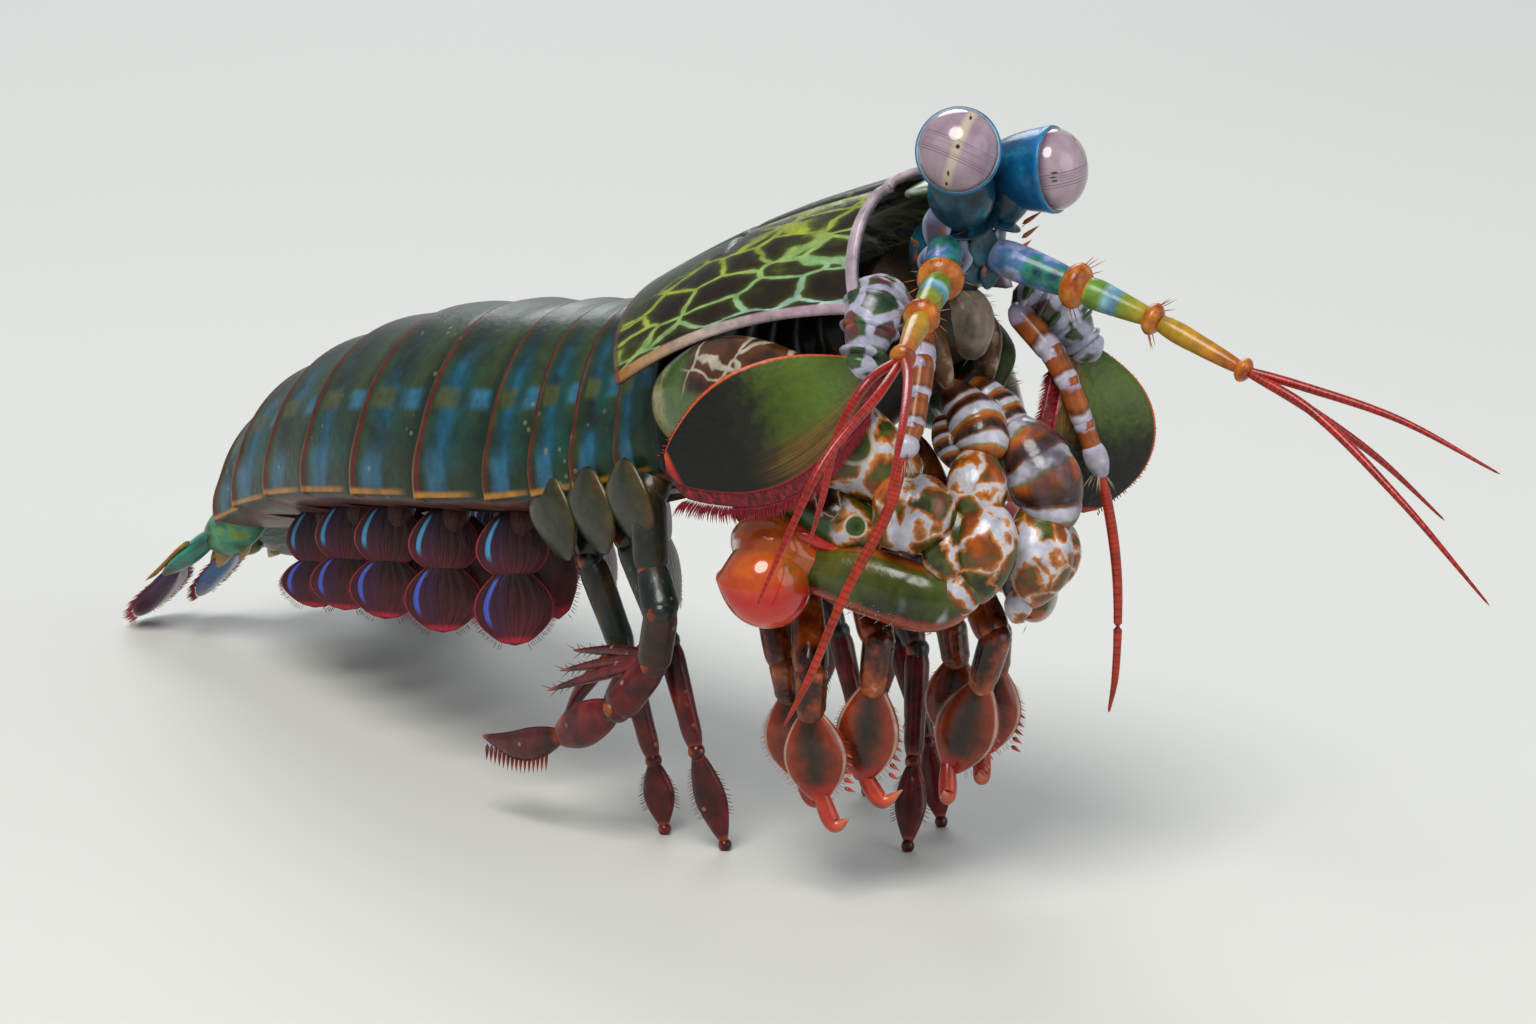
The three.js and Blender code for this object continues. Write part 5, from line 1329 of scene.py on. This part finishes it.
for side, claw in CLAWS.items():
    arm = Moulding()
    line = places(SHIELD, *claw["merus"])
    arm.limb(line, [2.6, 3.2, 3.3, 3.4], [5, 6, 5.2, 4.2], sides=56, rows=56, swell=keeled)
    if side == "r":
        for points, widths in claw["ruff"]:
            arm.limb(points, widths, sides=32, rows=28, part=2)
    arm.done("raptorial_merus_" + side, merus_finish, "raptorial_arm")

    wrist = Moulding()
    for k, (points, widths) in enumerate(claw["wrist"]):
        wrist.limb(points, widths, None, CLAW_FACING, 36, 32, 0.42, k, lobed)
    wrist.done("raptorial_carpus_" + side, claw_finish, "raptorial_wrist")

    if side == "l":
        dome = Moulding()
        for points, widths in claw["ruff"]:
            dome.limb(points, widths, None, CLAW_FACING, 48, 72, 0.4, 4, rippled(0.07, 4.2, 0.05))
        dome.done("raptorial_knuckle_l", band_finish, "raptorial_wrist", replaces=False)

    fist = Moulding()
    points = claw["fist"]
    fist.limb(points, [2.2, 2.4, 2.3, 2.2, 1.9], [2.5, 3.0, 2.9, 2.5, 1.9], sides=44, rows=52)
    for k in range(12):
        centre, _ = course([Vector(point) for point in points], 0.2 + 0.06 * k)
        for j in range(5):
            root = centre + Vector((0.9, -1.7, -1.1 - 0.3 * j))
            fist.hair(root, root + Vector((dice.uniform(-0.5, 0.3), -0.7, dice.uniform(-0.7, 0.1))), 0.045)
    fist.done("raptorial_propodus_" + side, fist_finish, "raptorial_fist")

    dactyl = Moulding()
    heel = Vector(claw["heel"])
    bulb_line = [heel + Vector((-1.7, -0.2, -3.2)), heel, heel + Vector((-0.6, 0.0, 4.4))]
    dactyl.limb(bulb_line, [3.6, 4.0, 3.9, 3.1], None, CLAW_FACING, 48, 40, 0.5, part=0)
    dactyl.limb(claw["shoulder"], [2.2, 2.8, 2.9, 2.2], None, CLAW_FACING, 36, 32, 0.42, part=1)
    dactyl.limb(
        claw["spear"], [1.5, 1.5, 1.2, 0.4], [1.1, 1.0, 0.8, 0.3], sides=30, rows=32, cap=0.4, part=2,
    )
    dactyl.done("raptorial_dactyl_" + side, club_finish, "club")


# The first maxillipeds: under the mouth, a short stack of banded joints on each side, of hard shell in
# white, orange and brown.
STACKS = {
    "r": (
        [
            (24.4, -1.2, 45.8), (26.2, -0.6, 43.8), (28.2, -0.9, 42.4), (29.4, -1.4, 40.9),
            (29.7, -2.0, 39.2),
        ],
        [1.7, 2.1, 2.3, 2.2, 1.7],
    ),
    "l": (
        [(24.4, 2.0, 45.6), (26.0, 2.6, 43.6), (27.6, 2.9, 42.0), (28.8, 3.0, 40.6)], [1.6, 1.9, 2.0, 1.6],
    ),
}
for side, (points, radii) in STACKS.items():
    stack = Moulding()
    stack.limb(points, radii, None, CLAW_FACING, 44, 64, 0.4, 0, rippled(0.10, 3.4, 0.04))
    if side == "r":
        palp_line = [(25.0, -2.0, 43.0), (26.6, -2.6, 41.0), (28.4, -3.2, 39.2)]
        stack.limb(palp_line, [1.2, 1.4, 1.0], sides=24, rows=20, part=1)
    stack.done("maxilliped_1_" + side, band_finish, "maxilliped")


# The other maxillipeds: three pairs of slender shelled arms under the thorax. Each ends in an oval flattened
# palm with a pale rim and bristles, and in a small red hooked finger.
MAXILLIPEDS = {
    "maxilliped_3_r": [
        (16, -3, 38.5), (17.6, -4.6, 29), (22.3, -6.5, 23.6), (22.1, -6.9, 19.8), (19.9, -6.2, 10.6),
        (23, -4.2, 10.3),
    ],
    "maxilliped_4_r": [
        (12.5, -4, 37), (14.5, -8, 27.4), (18.4, -10.6, 20.4), (18.4, -10.7, 17.4), (19, -10.1, 9.4),
        (21.6, -9, 8.4),
    ],
    "maxilliped_5_r": [
        (8.5, -4.4, 35.5), (9.4, -8, 26.4), (12.6, -8.6, 19.8), (13.2, -8.6, 17.4), (14, -8, 9.8),
        (16, -6.6, 9),
    ],
    "maxilliped_3_l": [
        (16.4, 3, 38.5), (21.6, 3.8, 29), (26.2, 3.4, 23), (25.2, 2.8, 19), (22.4, 1.9, 10.4),
        (23.9, -0.3, 9.6),
    ],
    "maxilliped_4_l": [
        (12.5, 4.4, 37), (16.4, 8, 27.4), (20.6, 8.8, 21.4), (20.8, 8.6, 18.4), (20.6, 7.6, 10.6),
        (22, 5.6, 9.8),
    ],
    "maxilliped_5_l": [
        (8.5, 4.6, 35.5), (10.2, 9, 26.4), (13.8, 9.8, 20.2), (14.4, 9.8, 17.6), (15, 9, 10.2),
        (16.6, 7.4, 9.2),
    ],
}
maxilliped_finish = p = Finish("maxilliped_shell", roughness=0.22, coat=0.5)
arm = p.ramp(p.noise(330, 4.0), "0.34 1c0c08 0.46 4a1c0c 0.56 9a3e12 0.66 c8641c 0.74 d8c8b8")
oval = p.size(p.side)
palm = p.ramp(
    p.fma(p.noise(320, 4.0), 0.5, p.times(oval, 0.5)),
    "0.26 2e2212 0.40 5a2a14 0.52 8a3212 0.66 a83a14 0.85 c42c14",
)
palm = p.over(palm, "c4281a", p.step(p.along, 0.72, 0.92))
palm = p.over(palm, "d8b49a", p.band(oval, 0.86, 0.93, 0.96, 0.995))
hook = p.ramp(p.along, "0.0 a8301a 0.5 d8442a 0.85 e87a52 1.0 e8a080")
skin = p.by_part(arm, {5: palm, 6: hook, 9: "c85a2c"})
p.close(skin, (700, 0.1), (1300, 0.05), pits=(620.0, 0.08, 0.5), gloss=(380, 0.15, 0.3))

for name, joints in MAXILLIPEDS.items():
    root, knee, elbow, wrist, tip, claw_tip = (Vector(joint) for joint in joints)
    limb = Moulding()
    jointed(
        limb, [root, knee, elbow, wrist], [1.6, 1.65, 1.75, 1.45], 0.9, (1, 0, 0), 24, 22, part=0, parts=1,
    )
    top = wrist.lerp(tip, -0.08)
    outward = Vector((0.6, -0.75, 0.1))
    widths, depths = [1.4, 2.3, 2.75, 2.6, 1.7], [0.9, 1.2, 1.25, 1.1, 0.8]
    limb.limb([top, tip], widths, depths, outward, 40, 36, 0.42, 5)
    bend = tip.lerp(claw_tip, 0.5) + Vector((0, 0, -1.3))
    hook_line = [tip + Vector((-0.4, 0, 1.6)), bend, claw_tip]
    limb.limb(hook_line, [0.95, 0.85, 0.55, 0.12], None, (0, 1, 0), 20, 28, 0.35, part=6)
    for edge, count, length in ((1, 30, 0.8), (-1, 26, 0.7)):
        fringe(limb, [top, tip], widths, outward, edge, count, length, 0.035, 9, 0.2, 0.95)
    for k in range(5):
        centre, ahead = course([top, tip], 0.5 + 0.09 * k)
        across = outward.cross(ahead).normalized()
        limb.spine(centre + across * 2.2, centre + across * 3.2 + ahead * 0.5, 0.26, part=6)
    limb.done(name, maxilliped_finish, "maxilliped")


# The size of the part as it is dressed here
low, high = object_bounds()
